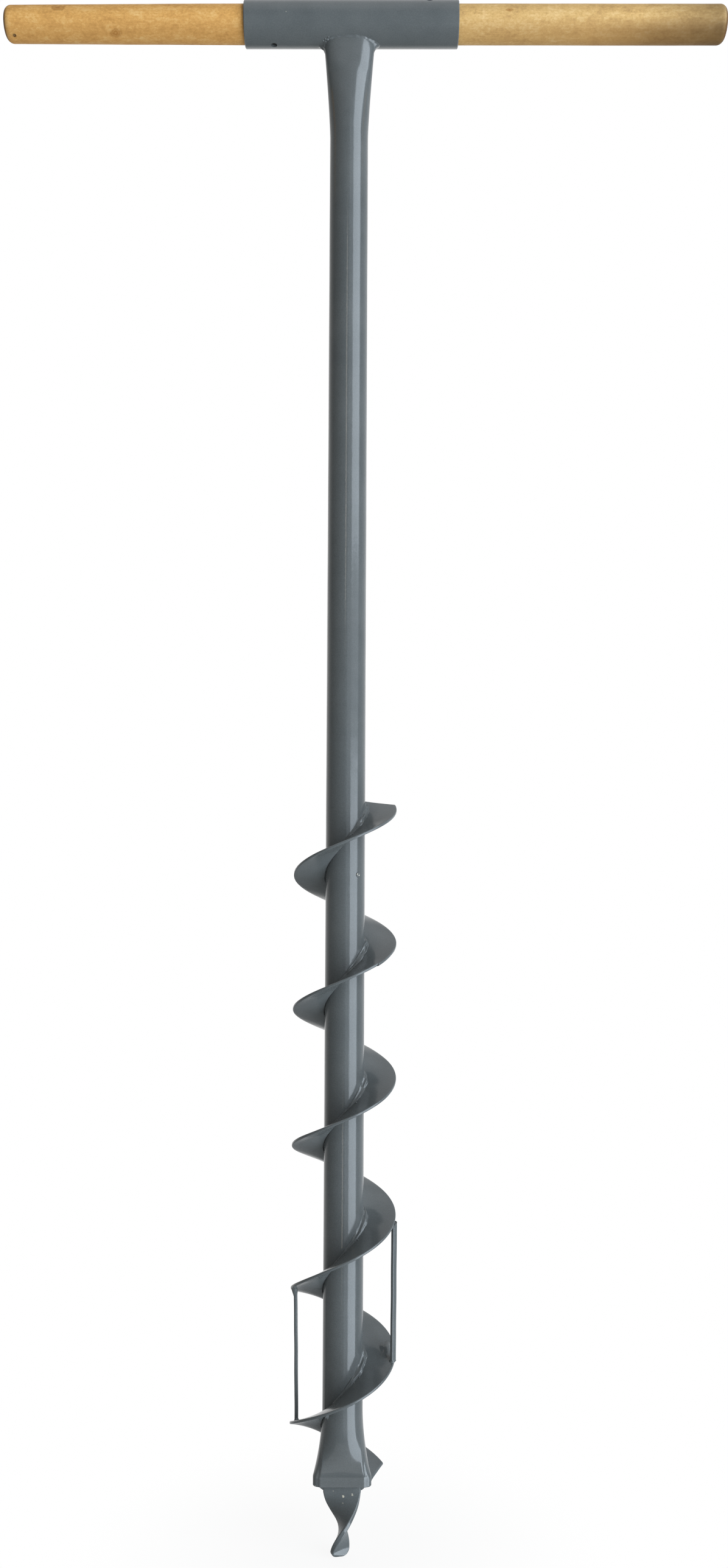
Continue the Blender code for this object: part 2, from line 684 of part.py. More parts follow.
# Soil bars with their welds
for bar_name, bar_angle, bar_low, bar_top, bar_spin, bar_tall in (
    ("left", BAR_LEFT_ANGLE, BAR_LEFT_LOW_RADIUS, BAR_LEFT_TOP_RADIUS, BAR_LEFT_SPIN, BAR_WELD_TALL),
    ("right", BAR_RIGHT_ANGLE, BAR_RIGHT_LOW_RADIUS, BAR_RIGHT_TOP_RADIUS, BAR_RIGHT_SPIN, BAR_WELD_HEIGHT),
):
    soil_bar("soil_bar_" + bar_name, bar_angle, bar_low, bar_top, bar_spin)
    bar_weld("bar_weld_" + bar_name + "_low", bar_angle, bar_low, bar_spin, 0, 1, BAR_WELD_HEIGHT)
    bar_weld("bar_weld_" + bar_name + "_top", bar_angle, bar_top, bar_spin, 1, -1, bar_tall)

# Screw point and its welds
screw_point()
point_weld("point_weld_left", -1)
point_weld("point_weld_right", 1)
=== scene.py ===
"""Looks of the hand earth auger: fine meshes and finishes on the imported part, in a plain studio.

Metres, Z up. The origin is on the shaft axis, at the flat end of the screw point.
X runs along the handle and -Y is the front, as in the part.
"""
import bmesh
import bpy
from math import atan2, ceil, cos, degrees as to_degrees, exp, hypot, pi, radians, sin, sqrt
from mathutils import Matrix, Vector, noise


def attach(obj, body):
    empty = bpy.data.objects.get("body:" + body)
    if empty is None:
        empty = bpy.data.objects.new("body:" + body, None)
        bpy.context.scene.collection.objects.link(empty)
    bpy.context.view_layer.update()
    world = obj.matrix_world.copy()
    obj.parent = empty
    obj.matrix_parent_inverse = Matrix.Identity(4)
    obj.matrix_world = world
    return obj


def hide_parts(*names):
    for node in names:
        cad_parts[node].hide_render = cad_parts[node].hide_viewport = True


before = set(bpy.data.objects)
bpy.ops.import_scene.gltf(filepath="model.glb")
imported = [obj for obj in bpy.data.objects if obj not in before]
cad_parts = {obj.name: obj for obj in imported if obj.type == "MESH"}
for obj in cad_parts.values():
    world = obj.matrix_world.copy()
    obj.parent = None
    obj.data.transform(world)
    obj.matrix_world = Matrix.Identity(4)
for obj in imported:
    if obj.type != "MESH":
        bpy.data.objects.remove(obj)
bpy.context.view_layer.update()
BODY = "root"

# Sizes of the part
OVERALL_LENGTH = 1.196
FIT_GAP = 0.0003
SHAFT_OD = 0.030
SHAFT_WALL = 0.002
SHAFT_TOP_WIDTH = 0.0402
SHAFT_TOP_DEPTH = 0.0172
SHAFT_TOP_PRESS = 0.078
SHAFT_TOP_FLARE = 1.3
SHAFT_LIP_HEIGHT = 0.007
SHAFT_LIP_EDGE = 0.0044
SHAFT_FAN_HEIGHT = 0.0505
SHAFT_FAN_SPREAD = 2.0
SHAFT_FAN_BULGE = 3.2
SHAFT_FAN_CROWN = 0.7
POINT_LENGTH = 0.0505
POINT_WIDTH = 0.028
POINT_END_WIDTH = 0.0135
POINT_THICKNESS = 0.005
POINT_END_THICKNESS = 0.0042
POINT_TWIST = 165.0
POINT_TWIST_START = 0.004
POINT_TWIST_POWER = 1.2
POINT_NOSE = 0.005
POINT_NOSE_WIDTH = 0.0062
POINT_TANG = 0.024
POINT_LEAN = 0.002
FLIGHT_OD = 0.0784
FLIGHT_PITCH = 0.10141
FLIGHT_PLATE = 0.002
FLIGHT_LENGTH = 0.4995
FLIGHT_LIFT = 0.005
FLIGHT_LOW_ANGLE = 38.8
FLIGHT_RINGS = 4
FLIGHT_END_SHARE = 0.2
FLIGHT_LOW_SKEW = 22.5
FLIGHT_LOW_SLANT = 0.74
FLIGHT_LOW_BEND = 1.2
FLIGHT_TOP_SKEW = 8.0
FLIGHT_SAG = 0.0035
FLIGHT_SAG_ANGLE = 540.0
FLIGHT_SAG_SWEEP = 75.0
STITCH_COUNT = 5
STITCH_SWEEP = 132.0
STITCH_LEG = 0.0034
STITCH_FIRST = 334.0
STITCH_TOP_MARGIN = 2.0
END_BEAD_MARGIN = 7.5
TACK_ANGLE = 223.0
TACK_SWEEP = 18.0
TACK_LEG = 0.0034
BAR_WIDTH = 0.0042
BAR_THICKNESS = 0.0027
BAR_CORNER = 0.0008
HANDLE_DIAMETER = 0.029
HANDLE_LEFT_DIAMETER = 0.0273
HANDLE_LENGTH = 0.574
HANDLE_SHIFT = 0.0125
HANDLE_ROUND = 0.0055
SOCKET_LENGTH = 0.170
SOCKET_WALL = 0.0025
SOCKET_SHIFT = 0.0015
SOCKET_CHAMFER = 0.0006
SOCKET_WELD_LEG = 0.0040
SOCKET_WELD_HEIGHT = 0.0056
SOCKET_WELD_FRONT = 0.22
NAIL_HEAD_DIAMETER = 0.0042
NAIL_HEAD_HEIGHT = 0.0009
NAIL_SHANK_DIAMETER = 0.0025
NAIL_LENGTH = 0.016
NAIL_HOLE_CLEARANCE = 0.0004
NAIL_SPACING = 0.1234

# Soil bars, each an angle about the shaft, a radius at its foot and at its top, and a turn about its length
BARS = {
    "left": (180.0, 0.0342, 0.0355, 0.0),
    "right": (348.0, 0.0382, 0.0388, -47.0),
}

# Nails, each a side of the socket's middle and a tilt up from the front
NAILS = {
    "handle_nail_left": (-1, -90.0),
    "handle_nail_right": (1, 46.0),
}

# Heights and radii that follow from the sizes above
SHAFT_RADIUS = SHAFT_OD / 2
SOCKET_BORE_RADIUS = HANDLE_DIAMETER / 2 + FIT_GAP
SOCKET_RADIUS = SOCKET_BORE_RADIUS + SOCKET_WALL
SOCKET_LEFT = SOCKET_SHIFT - SOCKET_LENGTH / 2
SOCKET_RIGHT = SOCKET_SHIFT + SOCKET_LENGTH / 2
HANDLE_LEFT = HANDLE_SHIFT - HANDLE_LENGTH / 2
HANDLE_RIGHT = HANDLE_SHIFT + HANDLE_LENGTH / 2
HANDLE_Z = OVERALL_LENGTH - SOCKET_RADIUS
SHAFT_LOW_Z = POINT_LENGTH
SHAFT_LIP_Z = SHAFT_LOW_Z + SHAFT_LIP_HEIGHT
SHAFT_FAN_Z = SHAFT_LIP_Z + SHAFT_FAN_HEIGHT
SHAFT_PRESS_END_Z = HANDLE_Z - SOCKET_RADIUS
SHAFT_PRESS_Z = SHAFT_PRESS_END_Z - SHAFT_TOP_PRESS
SHAFT_LIP_HALF = POINT_THICKNESS / 2 + FIT_GAP + SHAFT_WALL
SHAFT_LIP_FLAT = POINT_WIDTH / 2 + FIT_GAP
SHAFT_LIP_SLOPE = pi / 2 * (SHAFT_RADIUS - SHAFT_LIP_EDGE / 2) - SHAFT_LIP_FLAT
SHAFT_LIP_DROP = SHAFT_LIP_HALF - SHAFT_LIP_EDGE / 2
SHAFT_LIP_CENTRE = SHAFT_LIP_FLAT + sqrt(max(SHAFT_LIP_SLOPE ** 2 - SHAFT_LIP_DROP ** 2, 0.0))
SHAFT_LIP_REACH = SHAFT_LIP_CENTRE + SHAFT_LIP_EDGE / 2
FLIGHT_RADIUS = FLIGHT_OD / 2
FLIGHT_LOW_Z = SHAFT_LOW_Z + FLIGHT_LIFT
FLIGHT_TURNS = FLIGHT_LENGTH / FLIGHT_PITCH
FLIGHT_TOP_ANGLE = FLIGHT_LOW_ANGLE + 360 * FLIGHT_TURNS
RING_SWEEP = 360 * FLIGHT_TURNS / (FLIGHT_RINGS + FLIGHT_END_SHARE)
END_PIECE_TOP = FLIGHT_TOP_ANGLE - FLIGHT_RINGS * RING_SWEEP

# Fineness of the meshes
SHAFT_POINTS = 128
POLAR_POINTS = 160
ROUND_POINTS = 112
SHAFT_ROW = 0.006
END_ROW = 0.0012
HANDLE_ROW = 0.005
SOCKET_ROW = 0.010
SHEET_STATIONS = 9
SHEET_STEP = 2.5
SHEET_FINE_STEP = 1.25
BEAD_ROW = 0.0006
BEAD_POINTS = 13
WELD_POINTS = 144
BAR_ROWS = 40
POINT_ROWS = 90
NOSE_ROWS = 18
POINT_WELD_ROWS = 25
NAIL_POINTS = 48

# Small forms: rounded edges, dents, lumps
EDGE_ROUND = 0.0005
RIM_ROUND = 0.0007
RIM_STEPS = 4
FREE_EDGE = 0.55
RING_STEP = 0.0006
RING_STEP_SWEEP = 26.0
UNDER_GAP_WIDTH = 0.0011
UNDER_GAP_DEPTH = 0.0018
UNDER_GAP_EDGE = 0.00006
SINK = 0.0004
JAW_EDGE_Z = SHAFT_PRESS_END_Z - 0.028
JAW_EDGE_BLEND = 0.011
JAW_SQUARE = 2.35
LIP_ROUND = 0.0040
LIP_BEVEL = 0.0012
CREASE_ROUND = 0.0005
BEAD_THIN = 0.34
BEAD_END = 0.10
BEAD_TOP_END = 0.20
BEAD_FOLD_LENGTH = 0.0060
BEAD_FOLD_DEPTH = 0.38
BEAD_FOLDS = 2.6
BEAD_SWELL_START = 0.15
BEAD_SWELL = 0.45
BEAD_LEAST = 0.15
BEAD_HEIGHT = 1.15
BEAD_BELLY = 0.16
BEAD_TOE = 1.35
SOCKET_WELD_TOE = 1.4
SOCKET_WELD_CORNER = 5.0
SOCKET_SMOOTH = 0.3
SOCKET_ROUGH_X = -0.004
SOCKET_ROUGH_RUN = 0.006
SOCKET_LUMP_SINK = 0.4
WELD_CORNER = 0.0013
BAR_WELD_MIDDLE = 0.62
BAR_WELD_TOE = 1.4
POINT_CORNER = 0.0011
POINT_NOSE_THIN = 0.25
POINT_BEAT_RISE = 6.0
POINT_WELD_END = 0.30
POINT_WELD_HOLLOW = 0.12
HANDLE_END_WEAR = 0.0006
HOLE_START = 0.6
HOLE_END = 1.2
BLISTER_FLAT = 0.55
BLISTER_TALL = 1.15
BLISTER_DIP = 0.5
BLISTER_DIP_WIDTH = 0.45

# Uneven surfaces, each the size and the depth of its bumps
SMOOTH = (1.0, 0.0)
TUBE_DENTS = (0.045, 0.00005)
SHEET_WAVES = (0.022, 0.00022)
WELD_GRAIN = (0.0016, 0.00022)
SOCKET_WELD_GRAIN = (0.00256, 0.00088)
BAR_WELD_LUMPS = (0.0042, 0.000484)
BAR_BOW = (0.02, 0.00015)
STICK_WAVES = (0.035, 0.00012)

# Uneven surfaces with a depth in shares of the piece
BEAD_LUMPS = (0.0042, 0.40)
SOCKET_WELD_FINE = (0.0021, 0.6)
SOCKET_WELD_COARSE = (0.0042, 0.7)
POINT_BEATS = (0.009, 0.012)
SPATTER_LUMPS = (1.3, 0.45)
PUDDLE_LUMPS = (0.9, 0.5)

# Lumps of weld metal on the socket, each a place along X, a depth along Y and a radius
SOCKET_LUMPS = (
    (-0.0153, -0.0064, 0.0013),
    (-0.0166, -0.0073, 0.0008),
    (-0.0172, -0.0053, 0.0015),
    (-0.0189, -0.0060, 0.0009),
    (-0.0190, -0.0034, 0.0016),
    (-0.0208, -0.0046, 0.0008),
)

# Spatter on each flight weld: degrees back from its upper end, drift per weld, reach from the shaft, radius
STITCH_DROPS = ((62.0, 5.0, 0.0042, 0.0006), (74.0, -3.0, 0.0030, 0.0005))

# Welds at the ends of the soil bars: how far each runs out, its height along the bar, its lean to the rim
BAR_WELDS = {
    "left_low": (0.0028, 0.0030, -0.38),
    "left_top": (0.0020, 0.0075, 0.45),
    "right_low": (0.0013, 0.0024, -0.38),
    "right_top": (0.0015, 0.0030, -0.42),
}

# A low puddle of weld beside the right bar: its angle and radius about the shaft, and its half sizes
PUDDLE_PLACE = (364.0, 0.0320)
PUDDLE_SIZE = (0.0046, 0.0078, 0.0016)
PUDDLE_SLOPE = 1.5

# Paint marks, each a place, a radius and a strength
PAINT_NIB = ((0.0098, -0.0114, 0.5021), 0.0017)
BLISTER_CHIPS = (
    ((0.0095, -0.0124, 0.5024), 0.0008, 0.6),
    ((0.0108, -0.0113, 0.5016), 0.0007, 0.6),
)
POINT_CHIPS = (
    ((0.0010, -0.0025, 0.0437), 0.0012, 0.9),
    ((0.0077, -0.0025, 0.0450), 0.0010, 0.6),
    ((0.0007, -0.0025, 0.0389), 0.0008, 0.25),
    ((-0.0065, -0.0025, 0.0473), 0.0006, 0.25),
)
SOCKET_CHIPS = (((-0.0496, -0.0173, 1.1778), 0.0006, 0.30),)
LIP_CHIPS = (((-0.0195, -0.0030, 0.0512), 0.0008, 0.8),)
# The shaft and its blister take the same enamel darkened: painted shade on the tube
SHAFT_PAINTED_SHADE = 0.91
PAINT_DARK = (0.095, 0.104, 0.106)
PAINT_PALE = (0.117, 0.126, 0.127)
CHIP_COLOUR = (0.62, 0.57, 0.46)

# Wood: cloudy fields, each a stretch along the axes, a scale, a detail, a roughness, a distortion and a share
WOOD_FIELDS = {
    "mottle": ((0.55, 1.0, 1.0), 95.0, 5.0, 0.62, 0.0, 0.42),
    "flecks": ((0.6, 1.0, 1.0), 330.0, 3.0, 0.7, 0.0, 0.22),
    "streak": ((6.0, 110.0, 110.0), 1.0, 4.0, 0.6, 0.4, 0.12),
    "fibre": ((45.0, 950.0, 950.0), 1.0, 3.0, 0.6, 0.0, 0.14),
    "pores": ((0.75, 1.0, 1.0), 640.0, 2.0, 0.7, 0.0, 0.36),
    "flakes": ((0.6, 1.0, 1.0), 190.0, 5.0, 0.62, 0.0, 0.06),
}
FLAKE_EDGE = (0.50, 0.56)
WOOD_STOPS = (0.30, 0.50, 0.70)
WOOD_GOLDEN = ((0.490, 0.240, 0.066), (0.690, 0.366, 0.108), (0.820, 0.530, 0.215))
WOOD_PALE = ((0.470, 0.275, 0.104), (0.660, 0.412, 0.155), (0.800, 0.565, 0.275))
# Tints of painted shade for the stick's underside and its right end
WOOD_UNDERSIDE_SHADE = (0.310, 0.145, 0.036)
WOOD_PAINTED_SHADE = (0.020, 0.011, 0.004)
WOOD_KNOT = (0.330, 0.135, 0.026)
WOOD_END = (0.105, 0.046, 0.014)

# Places along the stick where the painted shade starts or reaches its full strength
UNDERSIDE_SHADE_FULL_X = 0.235
LOW_SHADE_X = 0.190
LOW_SHADE_FULL_X = 0.236
END_SHADE_X = 0.228

# Knots, each a place, a radius and a squeeze along the stick
WOOD_KNOTS = (
    ((-0.2300, -0.0126, 1.1842), 0.0042, 0.55),
    ((-0.1853, -0.0074, 1.1668), 0.0045, 0.70),
    ((0.1259, -0.0142, 1.1814), 0.0019, 0.45),
    ((-0.1160, -0.0060, 1.1915), 0.0036, 0.30),
)

# A bruise with a pale middle: a place, an inner and an outer radius, a strength and a tint
WOOD_BRUISE = (
    ((-0.2661, -0.0053, 1.1661), 0.0010, 0.0018, 0.9, (0.060, 0.025, 0.008)),
    ((-0.2665, -0.0055, 1.1662), 0.0003, 0.0008, 0.6, (0.42, 0.24, 0.09)),
)

# Studio: a place is an azimuth, in degrees from the front towards +X, and a width; a light is a radiance
# and a colour
LAMP_DISTANCE = 3.0
KEY_PLACE = (52.0, 2.61)
KEY_RADIANCE = 4.4
KEY_COLOUR = (0.89, 1.0, 1.11)
STREAK_PLACE = (-6.0, 0.15)
STREAK_LIGHT = (5.0, (1.0, 0.90, 0.76))
SHEEN_WIDTH = 0.13
SHEEN_EDGES = (0.024, 0.14)
SHEEN_RADIANCE = 0.5

# Soft boxes, each an azimuth, a width, a lower and an upper height, a radiance and a colour
LAMPS = {
    "key_low": (*KEY_PLACE, -1.60, 0.85, KEY_RADIANCE, KEY_COLOUR),
    "key_gap": (*KEY_PLACE, 0.85, 1.50, 1.0, KEY_COLOUR),
    "key_high": (*KEY_PLACE, 1.50, 3.40, KEY_RADIANCE, KEY_COLOUR),
    "side_card": (16.5, 1.11, -1.60, 3.40, 0.7, KEY_COLOUR),
    "key_top": (*KEY_PLACE, 3.40, 5.40, KEY_RADIANCE, KEY_COLOUR),
    "key_under": (*KEY_PLACE, -5.0, -1.60, KEY_RADIANCE, KEY_COLOUR),
    "streak_high": (*STREAK_PLACE, 1.31, 2.48, *STREAK_LIGHT),
    "streak_low": (*STREAK_PLACE, -0.64, -0.26, *STREAK_LIGHT),
}

# Brightness of the room from in front of the tool to behind it, its dim part in gloss, and the floor
WHITE = (1.0, 1.0, 1.0)
ROOM = ((0.0, (0.20, 0.20, 0.195)), (0.45, (0.27, 0.27, 0.265)), (0.62, (0.47, 0.47, 0.465)), (1.0, WHITE))
ROOM_GLOSS = (0.20, 0.205, 0.21)
FLOOR_COLOUR = (0.88, 0.88, 0.86, 1.0)
FLOOR_HALF = 6.0
FLOOR_DROP = 0.0006
FLOOR_SHADOW = (0.02, 0.22)

# Camera of the photograph
CAMERA_PLACE = (0.020006, -1.007494, 0.50504)
CAMERA_PITCH = 3.774
CAMERA_YAW = -0.34
CAMERA_ROLL = 0.246
CAMERA_LENS = 30.206
CAMERA_SENSOR = 36.0


def smoothstep(value):
    """Ease from 0 to 1 with level ends."""
    clipped = min(max(value, 0.0), 1.0)
    return clipped * clipped * (3 - 2 * clipped)


def mix(first, second, share):
    """A value between two others."""
    return first + (second - first) * share


def bumps(point, size, depth, shift=0.0):
    """Smooth uneven heights: about one bump each size, up to a depth either way."""
    x, y, z = point
    return depth * noise.noise(Vector((x / size + shift, y / size, z / size)))


def spread(low, high, step):
    """Evenly spaced values from low to high, at most a step apart."""
    count = max(int(ceil((high - low) / step)), 1)
    return [low + (high - low) * i / count for i in range(count + 1)]


def shares(count):
    """Evenly spaced shares from 0 to 1."""
    return [i / (count - 1) for i in range(count)]


def skin(rings, loop=False):
    """Join rings of points with faces, capped at both ends unless the rings form a loop."""
    bm = bmesh.new()
    rows = [[bm.verts.new(point) for point in ring] for ring in rings]
    pairs = list(zip(rows, rows[1:]))
    if loop:
        pairs.append((rows[-1], rows[0]))
    for lower, upper in pairs:
        count = len(lower)
        for i in range(count):
            j = (i + 1) % count
            bm.faces.new((lower[i], lower[j], upper[j], upper[i]))
    if not loop:
        bm.faces.new(rows[0])
        bm.faces.new(rows[-1])
    return bm


def link(made):
    """Put an object in the scene."""
    bpy.context.scene.collection.objects.link(made)
    return made


def mesh_object(name, bm, look, sharp):
    """Turn a bmesh into a smooth shaded object with outward faces."""
    bmesh.ops.recalc_face_normals(bm, faces=bm.faces[:])
    mesh = bpy.data.meshes.new(name)
    bm.to_mesh(mesh)
    bm.free()
    mesh.shade_smooth()
    mesh.set_sharp_from_angle(angle=radians(sharp))
    mesh.materials.append(look)
    return link(bpy.data.objects.new(name, mesh))


def dress(node, bm, look, sharp):
    """Make the fine piece that stands for a node of the part."""
    piece = mesh_object("fine_" + node, bm, look, sharp)
    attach(piece, BODY)
    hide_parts(node)
    return piece


def shaft_shape(z):
    """Half width and half depth of the shaft at a height, and how oval it is."""
    if z > SHAFT_PRESS_Z:
        share = min((z - SHAFT_PRESS_Z) / SHAFT_TOP_PRESS, 1.0) ** SHAFT_TOP_FLARE
        reach = mix(SHAFT_RADIUS, SHAFT_TOP_WIDTH / 2, share)
        return reach, mix(SHAFT_RADIUS, SHAFT_TOP_DEPTH / 2, share), 1.0
    share = min(max((z - SHAFT_LIP_Z) / SHAFT_FAN_HEIGHT, 0.0), 1.0)
    reach = mix(SHAFT_RADIUS, SHAFT_LIP_REACH, (1 - share) ** SHAFT_FAN_SPREAD)
    depth = mix(SHAFT_RADIUS, SHAFT_LIP_HALF, (1 - share) ** SHAFT_FAN_BULGE)
    return reach, depth, smoothstep(share / SHAFT_FAN_CROWN)


def lip_point(inset, share):
    """Point on a quarter of the flattened end's outline, in shares of its half width and depth."""
    half = SHAFT_LIP_HALF - inset
    edge = LIP_ROUND - inset
    centre = SHAFT_LIP_REACH - LIP_ROUND
    flat = centre - LIP_BEVEL
    arc = pi / 2 * edge
    slope = hypot(LIP_BEVEL, half - edge)
    along = share * (arc + slope + flat)
    if along < arc:
        x = centre + edge * cos(along / edge)
        y = edge * sin(along / edge)
    elif along < arc + slope:
        x = centre - LIP_BEVEL * (along - arc) / slope
        y = edge + (half - edge) * (along - arc) / slope
    else:
        x = arc + slope + flat - along
        y = half
    return x / (centre + edge), y / half


def shaft_outline(z, inset=0.0, count=SHAFT_POINTS):
    """Points round the shaft's wall at a height; it is squarer above the edge of the press jaws."""
    reach, depth, crown = shaft_shape(z)
    square = mix(2, JAW_SQUARE, smoothstep((z - JAW_EDGE_Z) / JAW_EDGE_BLEND))
    corner = []
    for share in shares(count // 4 + 1):
        flat_x, flat_y = lip_point(inset, share)
        oval_x = max(cos(pi / 2 * share), 0.0) ** (2 / square)
        oval_y = sin(pi / 2 * share) ** (2 / square)
        x = (reach - inset) * mix(flat_x, oval_x, crown)
        y = (depth - inset) * mix(flat_y, oval_y, crown)
        corner.append((x, y))
    half = corner[:-1] + [(-x, y) for x, y in reversed(corner[1:])]
    return half + [(-x, -y) for x, y in half]


def shaft_polar(z, degrees):
    """Distance from the shaft axis to its outer surface in one direction."""
    if SHAFT_FAN_Z < z < SHAFT_PRESS_Z:
        return SHAFT_RADIUS
    wanted = atan2(abs(sin(radians(degrees))), abs(cos(radians(degrees))))
    points = shaft_outline(z, count=POLAR_POINTS)[:POLAR_POINTS // 4 + 1]
    for (xa, ya), (xb, yb) in zip(points, points[1:]):
        low = atan2(ya, xa)
        high = atan2(yb, xb)
        if low <= wanted <= high:
            share = (wanted - low) / (high - low)
            return hypot(mix(xa, xb, share), mix(ya, yb, share))
    return points[-1][1]


def socket_underside(y, extra=0.0):
    """Height of the socket's underside at a depth."""
    reach = SOCKET_RADIUS + extra
    return HANDLE_Z - sqrt(max(reach * reach - y * y, 0.0))


def flight_z(degrees):
    """Height of the middle of the flight's sheet; one lobe hangs."""
    away = (degrees - FLIGHT_SAG_ANGLE) / FLIGHT_SAG_SWEEP
    sag = FLIGHT_SAG * exp(-away * away)
    return FLIGHT_LOW_Z + FLIGHT_PITCH * (degrees - FLIGHT_LOW_ANGLE) / 360 - sag


def flight_half(radius):
    """Half the sheet's thickness straight up; the sheet is steeper near the shaft."""
    return FLIGHT_PLATE / 2 * hypot(1.0, FLIGHT_PITCH / (2 * pi * radius))


def flight_bore(degrees, fitted=False):
    """Inner radius of the flight; a fitted edge follows the flattened shaft end inwards."""
    z = flight_z(degrees)
    least = 0.0 if fitted else SHAFT_RADIUS
    radius = SHAFT_RADIUS
    for _ in range(3):
        rise = flight_half(radius)
        radius = max(least, shaft_polar(z - rise, degrees), shaft_polar(z + rise, degrees))
    return radius


def around(radius, degrees, z):
    """Point at a radius and an angle about the shaft axis."""
    turn = radians(degrees)
    return (radius * cos(turn), radius * sin(turn), z)


def shaft_piece(look):
    """The painted tube: chisel end, round run with faint dents, pressed top."""
    heights = [SHAFT_LOW_Z + EDGE_ROUND]
    heights += spread(SHAFT_LOW_Z + 2 * EDGE_ROUND, SHAFT_LIP_Z - CREASE_ROUND, END_ROW)
    heights += spread(SHAFT_LIP_Z + CREASE_ROUND, SHAFT_FAN_Z, END_ROW)
    heights += spread(SHAFT_FAN_Z, SHAFT_PRESS_Z, SHAFT_ROW)[1:-1]
    heights += spread(SHAFT_PRESS_Z, SHAFT_PRESS_END_Z - 2 * END_ROW, END_ROW)
    outer = [[(x, y, SHAFT_LOW_Z) for x, y in shaft_outline(SHAFT_LOW_Z, EDGE_ROUND)]]
    for z in heights:
        ring = []
        for x, y in shaft_outline(z):
            grow = 1 + bumps((x, y, z), *TUBE_DENTS) / SHAFT_RADIUS
            ring.append((x * grow, y * grow, z))
        outer.append(ring)
    inner = []
    for z in (SHAFT_LOW_Z, SHAFT_LIP_Z, SHAFT_FAN_Z, SHAFT_PRESS_Z):
        inner.append([(x, y, z) for x, y in shaft_outline(z, SHAFT_WALL)])
    for rows, inset in ((outer, 0.0), (inner, SHAFT_WALL)):
        rows.append([(x, y, socket_underside(y)) for x, y in shaft_outline(SHAFT_PRESS_END_Z, inset)])
    return dress("shaft_tube", skin(outer + inner[::-1], loop=True), look, 50.0)


def sheet_piece(node, low, top, look, low_skew=0.0, top_skew=0.0, fitted=False, proud=0.0):
    """One flight ring: a sheet with a rounded rim, faint waves and a slit under it along the shaft.

    An end with a skew is free and rounded, the others meet the next ring. A proud ring stands out
    at the rim where its lower end meets the ring below.
    """
    band = FLIGHT_RADIUS - SHAFT_RADIUS
    reach = 1 - RIM_ROUND / band
    slit = UNDER_GAP_WIDTH / band
    shoulder = slit + UNDER_GAP_EDGE / band
    edge = [(0.0, 0.0), (slit, 0.0), (shoulder, 0.0)]
    edge += [(reach * j / SHEET_STATIONS, 0.0) for j in range(1, SHEET_STATIONS + 1)]
    for k in range(1, RIM_STEPS + 1):
        turn = pi / 2 * k / RIM_STEPS
        edge.append((reach + (1 - reach) * sin(turn), RIM_ROUND * (1 - cos(turn))))
    fineness = SHEET_FINE_STEP if fitted else SHEET_STEP
    stations = [(share, 1.0) for share in spread(0.0, 1.0, fineness / (top - low))]
    tip = to_degrees(EDGE_ROUND / FLIGHT_RADIUS) / (top - low)
    if low_skew:
        stations[0:1] = [(0.0, FREE_EDGE), (tip, 1.0)]
    if top_skew:
        stations[-1:] = [(1 - tip, 1.0), (1.0, FREE_EDGE)]
    rings = []
    for share, full in stations:
        upper = []
        lower = []
        for outward, drop in edge:
            inward = 1 - outward
            start = low - low_skew * min(inward / FLIGHT_LOW_SLANT, 1.0) ** FLIGHT_LOW_BEND
            end = top + top_skew * inward
            degrees = mix(start, end, share)
            inner = flight_bore(degrees, fitted) - SINK
            step = proud * (1 - smoothstep((degrees - low) / RING_STEP_SWEEP)) * outward ** 2
            radius = mix(inner, FLIGHT_RADIUS + step, outward)
            wave = bumps(around(radius, degrees, flight_z(degrees)), *SHEET_WAVES)
            z = flight_z(degrees) + wave * outward - 0.5 * step
            half = (flight_half(radius) - drop) * full
            gap = full * UNDER_GAP_DEPTH if outward <= slit and not fitted else 0.0
            upper.append(around(radius, degrees, z + half))
            lower.append(around(radius, degrees, z - half + gap))
        rings.append(upper + lower[::-1])
    dress(node, skin(rings), look, 50.0)


def spatter(bm, place, radius):
    """An uneven lump of weld metal stuck to a surface."""
    size, depth = SPATTER_LUMPS
    made = bmesh.ops.create_icosphere(bm, subdivisions=3, radius=radius, matrix=Matrix.Translation(place))
    for vert in made["verts"]:
        vert.co += (vert.co - Vector(place)) * bumps(vert.co, size * radius, depth)


def bead_piece(node, low, top, leg, side, look, fitted=False, drops=(), top_end=BEAD_TOP_END):
    """A folded fillet of weld between shaft and flight, heavier at its upper end."""
    length = radians(top - low) * SHAFT_RADIUS
    count = int(length / BEAD_ROW)
    rings = []
    for share in shares(count + 1):
        degrees = mix(low, top, share)
        root = flight_bore(degrees, fitted)
        floor = flight_z(degrees) + side * flight_half(root)
        taper = sin(pi / 2 * min(share / BEAD_END, (1 - share) / top_end, 1.0))
        run = mix(BEAD_THIN, 1, smoothstep((share - BEAD_SWELL_START) / BEAD_SWELL))
        lumps = bumps(around(root, degrees, floor), *BEAD_LUMPS, shift=leg / FIT_GAP)
        size = leg * run * mix(BEAD_LEAST, 1, taper) * (1 + lumps)
        ring = [around(radius, degrees, floor - side * SINK) for radius in (root - SINK, root + size)]
        for across in shares(BEAD_POINTS):
            fold = noise.noise(Vector((share * length / BEAD_FOLD_LENGTH, BEAD_FOLDS * across, 7.0 * top)))
            swell = size * sin(pi * across) * (BEAD_BELLY + BEAD_FOLD_DEPTH * fold)
            reach = size * (1 - across) ** BEAD_TOE + swell
            z = floor + side * (BEAD_HEIGHT * size * across ** BEAD_TOE + swell)
            base = mix(root, shaft_polar(z, degrees), across)
            spot = around(base + reach, degrees, z)
            grain = bumps(spot, *WELD_GRAIN) * taper * sin(pi * across)
            ring.append(around(base + reach + grain, degrees, z + side * 0.5 * grain))
        top_z = floor + side * BEAD_HEIGHT * size
        ring.append(around(shaft_polar(top_z, degrees) - SINK, degrees, top_z))
        rings.append(ring)
    bm = skin(rings)
    for angle, reach, radius in drops:
        spot_radius = flight_bore(angle, fitted) + reach
        spatter(bm, around(spot_radius, angle, flight_z(angle) + side * flight_half(spot_radius)), radius)
    dress(node, bm, look, 60.0)


